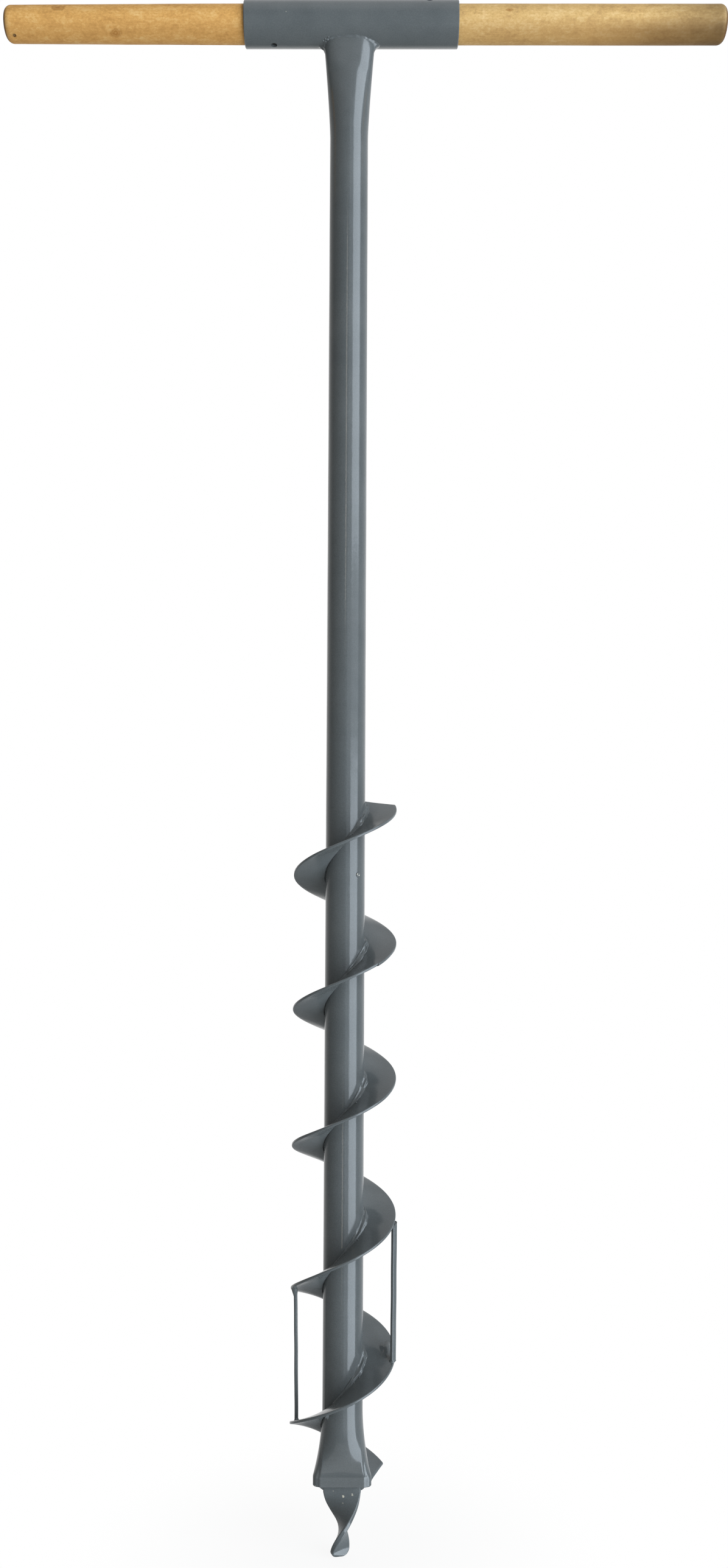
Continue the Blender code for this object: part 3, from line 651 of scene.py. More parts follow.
def socket_weld_piece(look):
    """The fillet round the shaft top: thin in front, hollow at the sides, lumpy at the left."""
    upper = shaft_outline(SHAFT_PRESS_END_Z, count=WELD_POINTS)
    below = shaft_outline(SHAFT_PRESS_END_Z - SOCKET_WELD_HEIGHT, count=WELD_POINTS)
    rings = []
    for i in range(WELD_POINTS):
        xa, ya = upper[i - 1]
        xb, yb = upper[(i + 1) % WELD_POINTS]
        out = Vector((yb - ya, xa - xb)).normalized()
        spot = Vector(upper[i])
        rough = mix(SOCKET_SMOOTH, 1, smoothstep((SOCKET_ROUGH_X - spot.x) / SOCKET_ROUGH_RUN))
        fine = bumps((*spot, 0.0), *SOCKET_WELD_FINE, shift=7.0)
        lumps = 1 + rough * (fine + bumps((*spot, 0.0), *SOCKET_WELD_COARSE, shift=3.0))
        sharp = SOCKET_WELD_CORNER if out.y < 0 else 1.0
        sideways = mix(SOCKET_WELD_FRONT, 1, abs(out.x) ** sharp)
        leg = SOCKET_WELD_LEG * lumps * sideways
        drop = SOCKET_WELD_HEIGHT * lumps * sideways
        corners = (spot - out * SINK, spot + out * leg)
        ring = [(*corner, socket_underside(corner.y, -SINK)) for corner in corners]
        for across in shares(BEAD_POINTS):
            outward = (1 - across) ** SOCKET_WELD_TOE
            downward = across ** SOCKET_WELD_TOE
            foot = spot.lerp(Vector(below[i]), downward * drop / SOCKET_WELD_HEIGHT)
            here = foot + out * leg * outward
            z = socket_underside(here.y) - drop * downward
            grain = rough * bumps((*here, z), *SOCKET_WELD_GRAIN)
            ring.append((*(here + out * grain), z - 0.5 * grain))
        foot = spot.lerp(Vector(below[i]), drop / SOCKET_WELD_HEIGHT) - out * SINK
        ring.append((*foot, socket_underside(spot.y) - drop))
        rings.append(ring)
    bm = skin(rings, loop=True)
    for x, y, radius in SOCKET_LUMPS:
        spatter(bm, (x, y, socket_underside(y) + SOCKET_LUMP_SINK * radius), radius)
    dress("socket_weld", bm, look, 70.0)


def round_section(width, depth, corner, steps=4):
    """Points round a rectangle with rounded corners."""
    points = []
    for quarter, (sx, sy) in enumerate(((1, 1), (-1, 1), (-1, -1), (1, -1))):
        for k in range(steps + 1):
            turn = pi / 2 * (quarter + k / steps)
            x = sx * (width / 2 - corner) + corner * cos(turn)
            y = sy * (depth / 2 - corner) + corner * sin(turn)
            points.append((x, y))
    return points


def turn_point(x, y, turn):
    """Turn a point about the origin."""
    return x * cos(turn) - y * sin(turn), x * sin(turn) + y * cos(turn)


def bar_place(point, angle, radius, spin):
    """Turn a section point and move it to the bar's place near the rim."""
    x, y = turn_point(*point, radians(spin))
    return (radius * cos(radians(angle)) + x, radius * sin(radians(angle)) + y)


def sheet_height(x, y, angle, turn, side):
    """Height of the flight's surface at a point near an angle."""
    there = to_degrees(atan2(y, x))
    offset = (there - angle + 180) % 360 - 180
    return flight_z(angle + offset + 360 * turn) + side * flight_half(hypot(x, y))


def bar_piece(node, angle, low_radius, top_radius, spin, look):
    """A small flat bar between two turns, its faces not quite true."""
    section = round_section(BAR_THICKNESS, BAR_WIDTH, BAR_CORNER, steps=8)
    rings = []
    for share in shares(BAR_ROWS + 1):
        ring = []
        for point in section:
            xa, ya = bar_place(point, angle, low_radius, spin)
            xb, yb = bar_place(point, angle, top_radius, spin)
            low = sheet_height(xa, ya, angle, 0, 1) - SINK
            high = sheet_height(xb, yb, angle, 1, -1) + SINK
            z = mix(low, high, share)
            bow = bumps((0.0, angle, z), *BAR_BOW)
            ring.append((mix(xa, xb, share) + bow, mix(ya, yb, share), z))
        rings.append(ring)
    dress(node, skin(rings), look, 50.0)


def puddle(bm, angle, turn, side):
    """A low mound of weld that ran out over the sheet."""
    place, reach = PUDDLE_PLACE
    middle = around(reach, place, 0.0)
    width, length, height = PUDDLE_SIZE
    for vert in bmesh.ops.create_icosphere(bm, subdivisions=5, radius=1.0)["verts"]:
        across, along, up = vert.co
        swell = 1 + bumps((across, along, 0.0), *PUDDLE_LUMPS)
        rise = max(1 - across ** 2 - along ** 2, 0.0) ** PUDDLE_SLOPE * swell if up > 0 else 0.0
        x = middle[0] + across * width * swell
        y = middle[1] + along * length * swell
        z = sheet_height(x, y, angle, turn, side) + side * (height * rise - SINK / 4)
        vert.co = (x, y, z + side * min(up, 0.0) * SINK)


def bar_weld_piece(place, angle, radius, spin, turn, side, look):
    """A drop of weld round one end of a soil bar, with a lean to the rim."""
    leg_size, height, lean = BAR_WELDS[place]
    outward = Vector((cos(radians(angle)), sin(radians(angle))))
    centre = Vector(bar_place((0.0, 0.0), angle, radius, spin))
    rings = []
    for point in round_section(BAR_THICKNESS, BAR_WIDTH, WELD_CORNER, steps=8):
        x, y = bar_place(point, angle, radius, spin)
        out = (Vector((x, y)) - centre).normalized()
        leg = leg_size * (BAR_WELD_MIDDLE + lean * out.dot(outward))
        base = sheet_height(x, y, angle, turn, side)
        core = Vector((x, y)) - out * SINK
        ring = [(*core, base - side * SINK)]
        for rise in shares(BEAD_POINTS):
            spot = core + out * (SINK + leg) * (1 - rise) ** BAR_WELD_TOE
            spot += out * bumps((*spot, height * rise), *BAR_WELD_LUMPS) * (1 - rise)
            z = mix(sheet_height(*spot, angle, turn, side), base, rise)
            ring.append((*spot, z + side * (height * rise - SINK * (1 - rise))))
        rings.append(ring)
    bm = skin(rings, loop=True)
    if place == "right_low":
        puddle(bm, angle, turn, side)
    dress("bar_weld_" + place, bm, look, 70.0)


def point_piece(look):
    """The twisted point, from its nose to the tang inside the shaft."""
    start = POINT_LENGTH - POINT_TWIST_START
    heights = [POINT_NOSE * (1 - cos(pi / 2 * share)) for share in shares(NOSE_ROWS + 1)]
    heights += spread(POINT_NOSE, start, start / POINT_ROWS)[1:]
    heights += [POINT_LENGTH, POINT_LENGTH + POINT_TANG]
    rings = []
    for z in heights:
        share = min(max((start - z) / start, 0.0), 1.0)
        turn = -radians(POINT_TWIST * share ** POINT_TWIST_POWER)
        width = mix(POINT_WIDTH, POINT_END_WIDTH, share)
        thickness = mix(POINT_THICKNESS, POINT_END_THICKNESS, share)
        if z < POINT_NOSE:
            rise = 1 - z / POINT_NOSE
            width = mix(POINT_NOSE_WIDTH, width, sqrt(1 - rise * rise))
            thickness *= 1 - POINT_NOSE_THIN * rise ** 4
        ring = []
        for x, y in round_section(width, thickness, POINT_CORNER, steps=6):
            x, y = turn_point(x, y, turn)
            beat = 1 + bumps((x, y, z), *POINT_BEATS) * min(share * POINT_BEAT_RISE, 1.0)
            ring.append((x * beat - POINT_LEAN * share ** 4, y * beat, z))
        rings.append(ring)
    return dress("screw_point", skin(rings), look, 50.0)


def point_weld_piece(node, side, look):
    """A small bead at one edge of the point, under the lip of the shaft."""
    reach = POINT_WIDTH / 2 - SINK
    ceiling = SHAFT_LOW_Z + SINK
    depth = POINT_THICKNESS / 2
    rings = []
    for row in shares(POINT_WELD_ROWS):
        across = 2 * row - 1
        size = POINT_TWIST_START * mix(POINT_WELD_END, 1, sqrt(max(1 - across * across, 0.0)))
        ring = [(side * reach, depth * across, ceiling)]
        for share in shares(BEAD_POINTS):
            turn = pi / 2 * share
            bulge = size * (1 - POINT_WELD_HOLLOW * sin(2 * turn))
            x = side * (reach + bulge * cos(turn))
            z = ceiling - bulge * sin(turn)
            grain = bumps((x, depth * across, z), *WELD_GRAIN)
            ring.append((x + side * grain, depth * across, z))
        rings.append(ring)
    dress(node, skin(rings), look, 60.0)


def turned(x, out, across, profile, steps, uneven=SMOOTH, loop=False):
    """A solid turned on a line through the handle's axis, from places on it and radii."""
    origin = Vector((x, 0.0, HANDLE_Z))
    other = out.cross(across)
    rings = []
    for distance, radius in profile:
        ring = []
        for i in range(steps):
            turn = 2 * pi * i / steps
            side = across * cos(turn) + other * sin(turn)
            reach = radius + bumps(out * distance + side * radius, *uneven)
            ring.append(origin + out * distance + side * reach)
        rings.append(ring)
    return skin(rings, loop)


def along_handle(profile, uneven=SMOOTH, loop=False):
    """A solid turned on the handle's own axis."""
    return turned(0.0, Vector((1, 0, 0)), Vector((0, 1, 0)), profile, ROUND_POINTS, uneven, loop)


def across_handle(x, tilt, profile):
    """A solid turned on a line square to the handle, which a tilt raises from the front."""
    turn = radians(tilt)
    out = Vector((0.0, -cos(turn), sin(turn)))
    return turned(x, out, Vector((1, 0, 0)), profile, NAIL_POINTS)


def rounded_end(end, inward, radius, steps=14):
    """Profile of one end of the stick, from flat to full radius."""
    points = []
    for share in shares(steps + 1):
        turn = pi / 2 * share
        x = end + inward * HANDLE_ROUND * (1 - cos(turn))
        points.append((x, radius - HANDLE_ROUND * (1 - sin(turn))))
    return points


def cut_holes(piece, cutters):
    """Take solids away from a piece."""
    for cutter in cutters:
        cut = piece.modifiers.new(cutter.name, "BOOLEAN")
        cut.operation = "DIFFERENCE"
        cut.solver = "EXACT"
        cut.object = cutter
    graph = bpy.context.evaluated_depsgraph_get()
    whole = piece.data
    piece.data = bpy.data.meshes.new_from_object(piece.evaluated_get(graph))
    piece.modifiers.clear()
    bpy.data.meshes.remove(whole)
    for cutter in cutters:
        bpy.data.objects.remove(cutter, do_unlink=True)
    piece.data.set_sharp_from_angle(angle=radians(40.0))


def handle_piece(look, cutters):
    """The wooden stick: ends rounded over, surface not quite true."""
    radius = HANDLE_DIAMETER / 2
    slim = HANDLE_LEFT_DIAMETER / 2
    profile = rounded_end(HANDLE_LEFT, 1, slim)
    left = HANDLE_LEFT + HANDLE_ROUND
    for x in spread(left, SOCKET_LEFT, HANDLE_ROW)[1:]:
        profile.append((x, mix(slim, radius, (x - left) / (SOCKET_LEFT - left))))
    for x in spread(SOCKET_LEFT, HANDLE_RIGHT - HANDLE_END_WEAR - HANDLE_ROUND, HANDLE_ROW)[1:-1]:
        profile.append((x, radius))
    profile += reversed(rounded_end(HANDLE_RIGHT - HANDLE_END_WEAR, -1, radius))
    stick = along_handle(profile, STICK_WAVES)
    cut_holes(dress("handle", stick, look, 40.0), cutters)


def socket_piece(look, cutters):
    """The tube round the stick, its ends cut square and broken by a file."""
    low = SOCKET_LEFT + SOCKET_CHAMFER
    high = SOCKET_RIGHT - SOCKET_CHAMFER
    outer = [(SOCKET_LEFT, SOCKET_RADIUS - SOCKET_CHAMFER)]
    outer += [(x, SOCKET_RADIUS) for x in spread(low, high, SOCKET_ROW)]
    outer.append((SOCKET_RIGHT, SOCKET_RADIUS - SOCKET_CHAMFER))
    bore = [(SOCKET_RIGHT, SOCKET_BORE_RADIUS), (SOCKET_LEFT, SOCKET_BORE_RADIUS)]
    tube = along_handle(outer + bore, loop=True)
    cut_holes(dress("handle_socket", tube, look, 30.0), cutters)


def nail_piece(node, x, tilt, look):
    """A flat-headed nail, its head on the stick inside the socket's hole."""
    seat = HANDLE_DIAMETER / 2
    shank = NAIL_SHANK_DIAMETER / 2
    head = NAIL_HEAD_DIAMETER / 2
    profile = [
        (seat - NAIL_LENGTH, shank * 0.2),
        (seat - NAIL_LENGTH + NAIL_SHANK_DIAMETER, shank),
        (seat, shank),
        (seat, head * 0.94),
        (seat + NAIL_HEAD_HEIGHT * 0.25, head),
        (seat + NAIL_HEAD_HEIGHT * 0.65, head),
        (seat + NAIL_HEAD_HEIGHT * 0.9, head * 0.9),
        (seat + NAIL_HEAD_HEIGHT, head * 0.7),
    ]
    dress(node, across_handle(x, tilt, profile), look, 40.0)


def nail_cutters(name, x, tilt):
    """The holes in the socket and in the stick, as solids."""
    middle = HANDLE_DIAMETER / 2
    wide = NAIL_HEAD_DIAMETER / 2 + NAIL_HOLE_CLEARANCE
    slim = NAIL_SHANK_DIAMETER / 2 + FIT_GAP
    look = bpy.data.materials.new(name + "_cut")
    through = across_handle(x, tilt, [(middle * HOLE_START, wide), (SOCKET_RADIUS * HOLE_END, wide)])
    pilot = across_handle(x, tilt, [(middle - NAIL_LENGTH, slim), (middle * HOLE_END, slim)])
    drilled = mesh_object(name + "_socket_cut", through, look, 40.0)
    driven = mesh_object(name + "_stick_cut", pilot, look, 40.0)
    return drilled, driven


def nib_piece(look):
    """A small blister in the paint of the shaft."""
    place, radius = PAINT_NIB
    outward = Vector((place[0], place[1], 0.0)).normalized()
    bm = bmesh.new()
    bmesh.ops.create_icosphere(bm, subdivisions=4, radius=radius)
    for vert in bm.verts:
        depth = vert.co.dot(outward)
        flat = vert.co - outward * depth
        dip = BLISTER_DIP * exp(-(flat.length / (BLISTER_DIP_WIDTH * radius)) ** 2) if depth > 0 else 0.0
        vert.co = flat + outward * depth * (BLISTER_FLAT - dip)
        vert.co.z *= BLISTER_TALL
        vert.co += outward * SHAFT_RADIUS + Vector((0.0, 0.0, place[2]))
    piece = mesh_object("shaft_paint_blister", bm, look, 60.0)
    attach(piece, BODY)


def plug(tree, value, socket):
    """Link a socket to another, or set a constant on it."""
    if isinstance(value, bpy.types.NodeSocket):
        tree.links.new(value, socket)
    else:
        socket.default_value = value


def fill(tree, node, **values):
    """Link or set a node's sockets by name."""
    for name, value in values.items():
        plug(tree, value, node.inputs[name.replace("_", " ")])


def add_node(tree, kind, **values):
    """Add a shader node with its sockets linked or set."""
    made = tree.nodes.new("ShaderNode" + kind)
    fill(tree, made, **values)
    return made


def vector_step(tree, operation, first, second=(0.0, 0.0, 0.0)):
    """One step of arithmetic on a vector."""
    made = add_node(tree, "VectorMath")
    made.operation = operation
    plug(tree, first, made.inputs[0])
    plug(tree, second, made.inputs[1])
    return made.outputs["Value"] if operation == "LENGTH" else made.outputs["Vector"]


def object_place(tree, stretch=(1.0, 1.0, 1.0)):
    """Coordinates on the piece in metres, stretched along the axes."""
    place = add_node(tree, "TexCoord").outputs["Object"]
    return vector_step(tree, "MULTIPLY", place, stretch)


def noise_field(tree, place, scale, detail=3.0, roughness=0.5, distortion=0.0):
    """A cloudy value from 0 to 1 over the piece."""
    made = add_node(tree, "TexNoise", Vector=place, Scale=scale, Detail=detail)
    fill(tree, made, Roughness=roughness, Distortion=distortion)
    return made.outputs[0]


def remap(tree, value, low, high, to_low, to_high, smooth=False):
    """Move a value from one range to another, held at both ends."""
    made = add_node(tree, "MapRange", Value=value, From_Min=low, From_Max=high)
    fill(tree, made, To_Min=to_low, To_Max=to_high)
    made.interpolation_type = "SMOOTHSTEP" if smooth else "LINEAR"
    return made.outputs["Result"]


def calculate(tree, operation, first, second):
    """One step of arithmetic."""
    made = add_node(tree, "Math")
    made.operation = operation
    plug(tree, first, made.inputs[0])
    plug(tree, second, made.inputs[1])
    return made.outputs[0]


def blend(tree, factor, first, second, kind="MIX"):
    """Mix two colours."""
    made = add_node(tree, "Mix")
    made.data_type = "RGBA"
    made.blend_type = kind
    plug(tree, factor, made.inputs[0])
    for value, socket in ((first, made.inputs[6]), (second, made.inputs[7])):
        plug(tree, (*value, 1.0) if isinstance(value, tuple) else value, socket)
    return made.outputs[2]


def ramp(tree, value, stops):
    """Colours along a value."""
    made = add_node(tree, "ValToRGB", Fac=value)
    places = made.color_ramp.elements
    while len(places) < len(stops):
        places.new(0.5)
    for element, (position, colour) in zip(places, stops):
        element.position = position
        element.color = (*colour, 1.0)
    return made.outputs["Color"]


def bump(tree, height, distance, strength, under=None):
    """Fine relief for the shader's normal."""
    made = add_node(tree, "Bump", Height=height, Distance=distance, Strength=strength)
    if under is not None:
        fill(tree, made, Normal=under)
    return made.outputs["Normal"]


def stain_and_shade(tree, colour, tint, *masks):
    """Tint a colour where every mask is high."""
    mask = masks[0]
    for other in masks[1:]:
        mask = calculate(tree, "MULTIPLY", mask, other)
    return blend(tree, mask, colour, tint)


def near(tree, spot, radius, stretch=(1.0, 1.0, 1.0), wobble=0.0):
    """Distance from a spot, wavering by a share of a radius."""
    place = object_place(tree)
    away = vector_step(tree, "SUBTRACT", place, spot)
    distance = vector_step(tree, "LENGTH", vector_step(tree, "MULTIPLY", away, stretch))
    if wobble:
        cloud = noise_field(tree, place, 1.2 / radius, 2.0)
        waver = remap(tree, cloud, 0.3, 0.7, -wobble * radius, wobble * radius)
        distance = calculate(tree, "ADD", distance, waver)
    return distance


def new_material(name):
    """A material with its node tree and its Principled shader."""
    made = bpy.data.materials.new(name)
    made.use_nodes = True
    return made, made.node_tree, made.node_tree.nodes["Principled BSDF"]


def paint_look(name, chips=(), depth=1.0):
    """Grey enamel: cloudy shade, orange peel and pale chips; a low depth darkens the same enamel as painted
    shade.
    """
    made, tree, shader = new_material(name)
    place = object_place(tree)
    clouds = noise_field(tree, place, 34.0, 4.0, 0.55)
    # A depth below 1 darkens the same enamel: painted shade
    dark = [depth * channel for channel in PAINT_DARK]
    pale = [depth * channel for channel in PAINT_PALE]
    colour = ramp(tree, clouds, ((0.30, dark), (0.72, pale)))
    grit = noise_field(tree, place, 1300.0, 2.0, 0.6)
    flecks = remap(tree, grit, 0.35, 0.75, 0.90, 1.12)
    shade = add_node(tree, "CombineColor", Red=flecks, Green=flecks, Blue=flecks)
    colour = blend(tree, 0.8, colour, shade.outputs[0], "MULTIPLY")
    for spot, radius, strength in chips:
        away = near(tree, spot, radius, wobble=0.3)
        mask = remap(tree, away, 0.4 * radius, radius, strength, 0.0, True)
        colour = stain_and_shade(tree, colour, CHIP_COLOUR, mask)
    rough = remap(tree, noise_field(tree, place, 70.0, 3.0), 0.3, 0.7, 0.11, 0.17)
    waves = bump(tree, noise_field(tree, place, 95.0, 2.0), 0.0012, 0.06)
    peel = bump(tree, noise_field(tree, place, 620.0, 2.0), 0.00022, 0.12, waves)
    fill(tree, shader, Base_Color=colour, Roughness=rough, Normal=peel, IOR=1.5)
    return made


def steel_look(name):
    """Dull dark nail steel."""
    made, tree, shader = new_material(name)
    place = object_place(tree)
    clouds = noise_field(tree, place, 420.0, 4.0)
    colour = ramp(tree, clouds, ((0.30, (0.030, 0.027, 0.025)), (0.75, (0.085, 0.076, 0.068))))
    rough = remap(tree, clouds, 0.3, 0.7, 0.35, 0.6)
    pits = bump(tree, clouds, 0.0002, 0.3)
    fill(tree, shader, Base_Color=colour, Roughness=rough, Normal=pits, Metallic=0.6)
    return made


def wood_look(name):
    """Stick wood: flaky and finely grained, knotted at the left, with dark end grain, and with painted shade
    on its underside and towards its right end.
    """
    made, tree, shader = new_material(name)
    place = object_place(tree)
    fields = {}
    value = (1 - sum(share for *_, share in WOOD_FIELDS.values())) / 2
    for field_name, (stretch, scale, detail, rough, distortion, share) in WOOD_FIELDS.items():
        field = noise_field(tree, object_place(tree, stretch), scale, detail, rough, distortion)
        if field_name == "flakes":
            field = remap(tree, field, *FLAKE_EDGE, 0.0, 1.0)
        fields[field_name] = field
        value = calculate(tree, "ADD", value, calculate(tree, "MULTIPLY", field, share))
    golden = ramp(tree, value, tuple(zip(WOOD_STOPS, WOOD_GOLDEN)))
    pale = ramp(tree, value, tuple(zip(WOOD_STOPS, WOOD_PALE)))
    x, _, z = add_node(tree, "SeparateXYZ", Vector=place).outputs
    colour = blend(tree, remap(tree, x, SOCKET_LEFT, SOCKET_RIGHT, 0.0, 1.0), golden, pale)
    # Painted shade: the underside of the right half darker, more so near the right end
    underside_shade = remap(tree, z, HANDLE_Z - 0.011, HANDLE_Z - 0.002, 0.6, 0.0)
    colour = stain_and_shade(tree, colour, WOOD_UNDERSIDE_SHADE, underside_shade, remap(tree, x, SOCKET_RIGHT, UNDERSIDE_SHADE_FULL_X, 0.45, 1.0))
    underside_shade = remap(tree, z, HANDLE_Z - 0.012, HANDLE_Z - 0.003, 0.26, 0.0)
    colour = stain_and_shade(tree, colour, WOOD_PAINTED_SHADE, underside_shade, remap(tree, x, LOW_SHADE_X, LOW_SHADE_FULL_X, 0.0, 1.0))
    # Painted shade: the stick darker towards its right end, unevenly
    end_shade = remap(tree, x, END_SHADE_X, HANDLE_RIGHT, 0.0, 0.57)
    colour = stain_and_shade(tree, colour, WOOD_PAINTED_SHADE, end_shade, remap(tree, fields["mottle"], 0.3, 0.7, 1.12, 0.88))
    for spot, radius, long in WOOD_KNOTS:
        distance = near(tree, spot, radius, (long, 1.0, 1.0), wobble=0.2)
        rings = calculate(tree, "SINE", calculate(tree, "MULTIPLY", distance, 12.0 / radius), 0.0)
        fall = remap(tree, distance, 0.40 * radius, radius, 0.80, 0.0, True)
        colour = stain_and_shade(tree, colour, WOOD_KNOT, fall, remap(tree, rings, -1.0, 1.0, 0.55, 1.0))
    for spot, inner, outer, strength, tint in WOOD_BRUISE:
        mark = remap(tree, near(tree, spot, outer), inner, outer, strength, 0.0, True)
        colour = stain_and_shade(tree, colour, tint, mark)
    left_end = remap(tree, x, HANDLE_LEFT + 0.0012, HANDLE_LEFT + 0.0028, 0.9, 0.0)
    right_end = remap(tree, x, HANDLE_RIGHT - 0.0034, HANDLE_RIGHT - 0.0018, 0.0, 0.9)
    for end in (left_end, right_end):
        colour = stain_and_shade(tree, colour, WOOD_END, end)
    rough = remap(tree, value, 0.3, 0.7, 0.66, 0.50)
    coarse = bump(tree, fields["streak"], 0.0006, 0.18)
    fine = bump(tree, fields["pores"], 0.0003, 0.20, coarse)
    fill(tree, shader, Base_Color=colour, Roughness=rough, Normal=fine, Specular_IOR_Level=0.2)
    return made


def area_light(name, width, height, radiance, colour=WHITE):
    """A soft box of one even brightness, unseen by the camera."""
    data = bpy.data.lights.new(name, "AREA")
    data.shape = "RECTANGLE"
    data.size = width
    data.size_y = height
    data.energy = radiance * pi * width * height
    data.color = colour
    made = link(bpy.data.objects.new(name, data))
    made.visible_camera = False
    return made


def lamp(name, azimuth, width, low, high, radiance, colour):
    """A soft box that faces the shaft, between two heights."""
    made = area_light(name, width, high - low, radiance, colour)
    turn = radians(azimuth)
    inward = Vector((-sin(turn), cos(turn), 0.0))
    made.location = (-LAMP_DISTANCE * inward.x, -LAMP_DISTANCE * inward.y, (low + high) / 2)
    made.rotation_euler = inward.to_track_quat("-Z", "Y").to_euler()
    return made


def floor_sheen():
    """The lit floor in front of the tool, which gives gloss alone."""
    near_edge, far_edge = SHEEN_EDGES
    made = area_light("floor_sheen", SHEEN_WIDTH, far_edge - near_edge, SHEEN_RADIANCE)
    made.location = (0.0, -(near_edge + far_edge) / 2, 0.0)
    made.rotation_euler = (pi, 0.0, 0.0)
    made.visible_diffuse = False
    return made


def lit_only(made, *pieces):
    """Let a lamp light these pieces alone."""
    made.light_linking.receiver_collection = bpy.data.collections.new(made.name + "_takes")
    for piece in pieces:
        made.light_linking.receiver_collection.objects.link(piece)


def seen_directly(tree):
    """1 for what the camera sees, also through glass, and 0 for other light."""
    path = add_node(tree, "LightPath")
    return calculate(tree, "MAXIMUM", path.outputs["Is Camera Ray"], path.outputs["Is Transmission Ray"])


def studio_world():
    """A white studio: bright wall behind the tool, dim room."""
    world = bpy.data.worlds.new("studio")
    bpy.context.scene.world = world
    world.use_nodes = True
    tree = world.node_tree
    back = tree.nodes["Background"]
    direction = add_node(tree, "TexCoord").outputs["Generated"]
    _, y, z = add_node(tree, "SeparateXYZ", Vector=direction).outputs
    room = ramp(tree, remap(tree, y, -1.0, 1.0, 0.0, 1.0), ROOM)
    behind = remap(tree, y, 0.1, 0.9, 0.0, 1.0)
    above = remap(tree, z, -0.62, -0.20, 0.0, 1.0)
    below = remap(tree, z, 0.30, 0.60, 1.0, 0.5)
    ceiling = remap(tree, z, 0.50, 0.85, 0.0, 0.75)
    wall = calculate(tree, "MULTIPLY", behind, calculate(tree, "MULTIPLY", above, below))
    wall = calculate(tree, "MAXIMUM", wall, ceiling)
    dim = blend(tree, wall, ROOM_GLOSS, WHITE)
    path = add_node(tree, "LightPath")
    lit = blend(tree, path.outputs["Is Glossy Ray"], room, dim)
    fill(tree, back, Color=blend(tree, seen_directly(tree), lit, WHITE), Strength=1.0)


def studio_floor():
    """A pale floor that takes the tool's shadow and is white away from it."""
    bm = bmesh.new()
    below = Matrix.Translation((0.0, 0.0, -FLOOR_DROP))
    bmesh.ops.create_grid(bm, x_segments=24, y_segments=24, size=FLOOR_HALF, matrix=below)
    made, tree, shader = new_material("studio_floor")
    fill(tree, shader, Base_Color=FLOOR_COLOUR, Roughness=0.9)
    glow = add_node(tree, "Emission")
    away = near(tree, (0.0, 0.0, 0.0), 1.0)
    white = remap(tree, away, *FLOOR_SHADOW, 0.90, 1.0, True)
    share = calculate(tree, "MULTIPLY", seen_directly(tree), white)
    mixed = add_node(tree, "MixShader", Fac=share)
    plug(tree, shader.outputs[0], mixed.inputs[1])
    plug(tree, glow.outputs[0], mixed.inputs[2])
    fill(tree, tree.nodes["Material Output"], Surface=mixed.outputs[0])
    floor = mesh_object("studio_floor", bm, made, 40.0)
    floor.visible_glossy = False
    floor.visible_shadow = False


def studio_camera():
    """The camera where the photograph was taken."""
    data = bpy.data.cameras.new("photo_camera")
    data.sensor_width = CAMERA_SENSOR
    data.lens = CAMERA_LENS
    data.clip_start = 0.05
    camera = link(bpy.data.objects.new("photo_camera", data))
    turn = Matrix.Rotation(radians(-CAMERA_YAW), 4, "Z")
    turn @= Matrix.Rotation(radians(90 + CAMERA_PITCH), 4, "X")
    turn @= Matrix.Rotation(radians(CAMERA_ROLL), 4, "Z")
    camera.matrix_world = Matrix.Translation(CAMERA_PLACE) @ turn
    bpy.context.scene.camera = camera


# Finishes
paint = paint_look("grey_enamel")
wood = wood_look("stick_grain")
steel = steel_look("nail_steel_dull")

# Handle end of the tool
drilled = []
driven = []
for nail_name, (nail_side, nail_tilt) in NAILS.items():
    nail_x = SOCKET_SHIFT + nail_side * NAIL_SPACING / 2
    nail_piece(nail_name, nail_x, nail_tilt, steel)
    hole, pilot = nail_cutters(nail_name, nail_x, nail_tilt)
    drilled.append(hole)
    driven.append(pilot)
handle_piece(wood, driven)
socket_piece(paint_look("socket_enamel", SOCKET_CHIPS), drilled)

# Shaft and its weld to the socket
shaft = shaft_piece(paint_look("shaft_enamel", LIP_CHIPS, SHAFT_PAINTED_SHADE))
socket_weld_piece(paint)
nib_piece(paint_look("blister_enamel", BLISTER_CHIPS, SHAFT_PAINTED_SHADE))

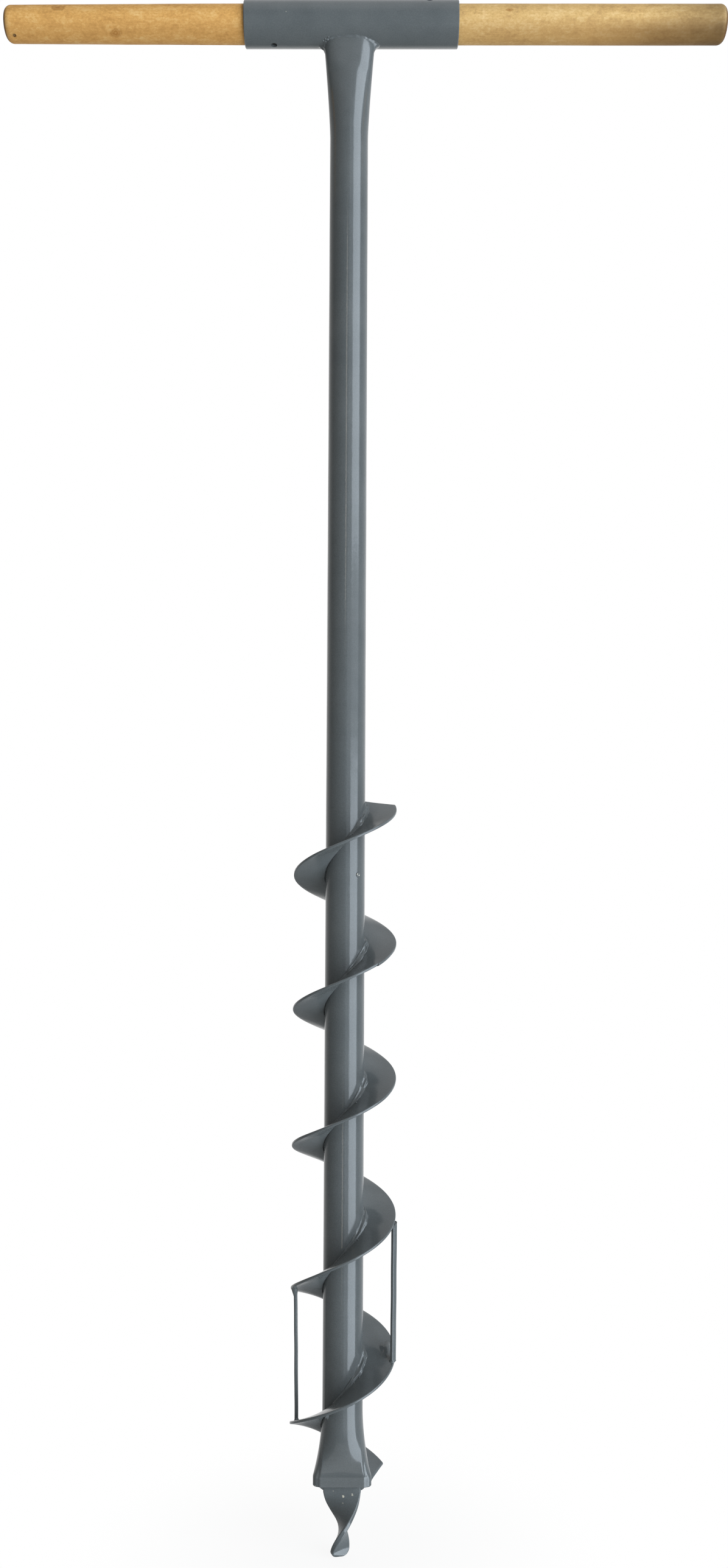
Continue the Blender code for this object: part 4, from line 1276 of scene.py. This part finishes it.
# Flights, counted from the bottom
sheet_piece("flight_end_piece", FLIGHT_LOW_ANGLE, END_PIECE_TOP, paint, low_skew=FLIGHT_LOW_SKEW, fitted=True)
for ring_index in range(FLIGHT_RINGS):
    ring_low = END_PIECE_TOP + ring_index * RING_SWEEP
    is_top = ring_index == FLIGHT_RINGS - 1
    ends = {"top_skew": FLIGHT_TOP_SKEW, "proud": RING_STEP} if is_top else {}
    sheet_piece(f"flight_ring_{ring_index + 1}", ring_low, ring_low + RING_SWEEP, paint, **ends)

# Welds of the flights
stitch_top = FLIGHT_LOW_ANGLE + STITCH_FIRST
stitch_space = (FLIGHT_TOP_ANGLE - STITCH_TOP_MARGIN - stitch_top) / (STITCH_COUNT - 1)
for stitch_index in range(STITCH_COUNT):
    stitch_end = stitch_top + stitch_index * stitch_space
    stitch_drops = [
        (stitch_end - back - drift * stitch_index, reach, radius)
        for back, drift, reach, radius in STITCH_DROPS
    ]
    stitch_low = stitch_end - STITCH_SWEEP
    top_end = BEAD_END / 2 if stitch_index == STITCH_COUNT - 1 else BEAD_TOP_END
    stitch_name = f"flight_weld_{stitch_index + 1}"
    bead_piece(stitch_name, stitch_low, stitch_end, STITCH_LEG, 1, paint, drops=stitch_drops, top_end=top_end)
end_bead_top = END_PIECE_TOP - END_BEAD_MARGIN
bead_piece("end_piece_weld", FLIGHT_LOW_ANGLE, end_bead_top, STITCH_LEG, 1, paint, fitted=True)
bead_piece("underside_tack", TACK_ANGLE - TACK_SWEEP / 2, TACK_ANGLE + TACK_SWEEP / 2, TACK_LEG, -1, paint)

# Soil bars with their welds
for bar_name, (bar_angle, bar_low, bar_top, bar_spin) in BARS.items():
    bar_piece("soil_bar_" + bar_name, bar_angle, bar_low, bar_top, bar_spin, paint)
    bar_weld_piece(bar_name + "_low", bar_angle, bar_low, bar_spin, 0, 1, paint)
    bar_weld_piece(bar_name + "_top", bar_angle, bar_top, bar_spin, 1, -1, paint)

# Screw point and its welds
point = point_piece(paint_look("point_enamel", POINT_CHIPS))
point_weld_piece("point_weld_left", -1, paint)
point_weld_piece("point_weld_right", 1, paint)

# Studio
studio_world()
studio_floor()
lamps = {name: lamp(name, *values) for name, values in LAMPS.items()}
lamps["key_top"].visible_diffuse = False
lit_only(lamps["key_under"], shaft, point)
for shaft_lamp in (lamps["key_top"], lamps["streak_high"], lamps["streak_low"], floor_sheen()):
    lit_only(shaft_lamp, shaft)
studio_camera()
bpy.context.scene.view_settings.view_transform = "Standard"
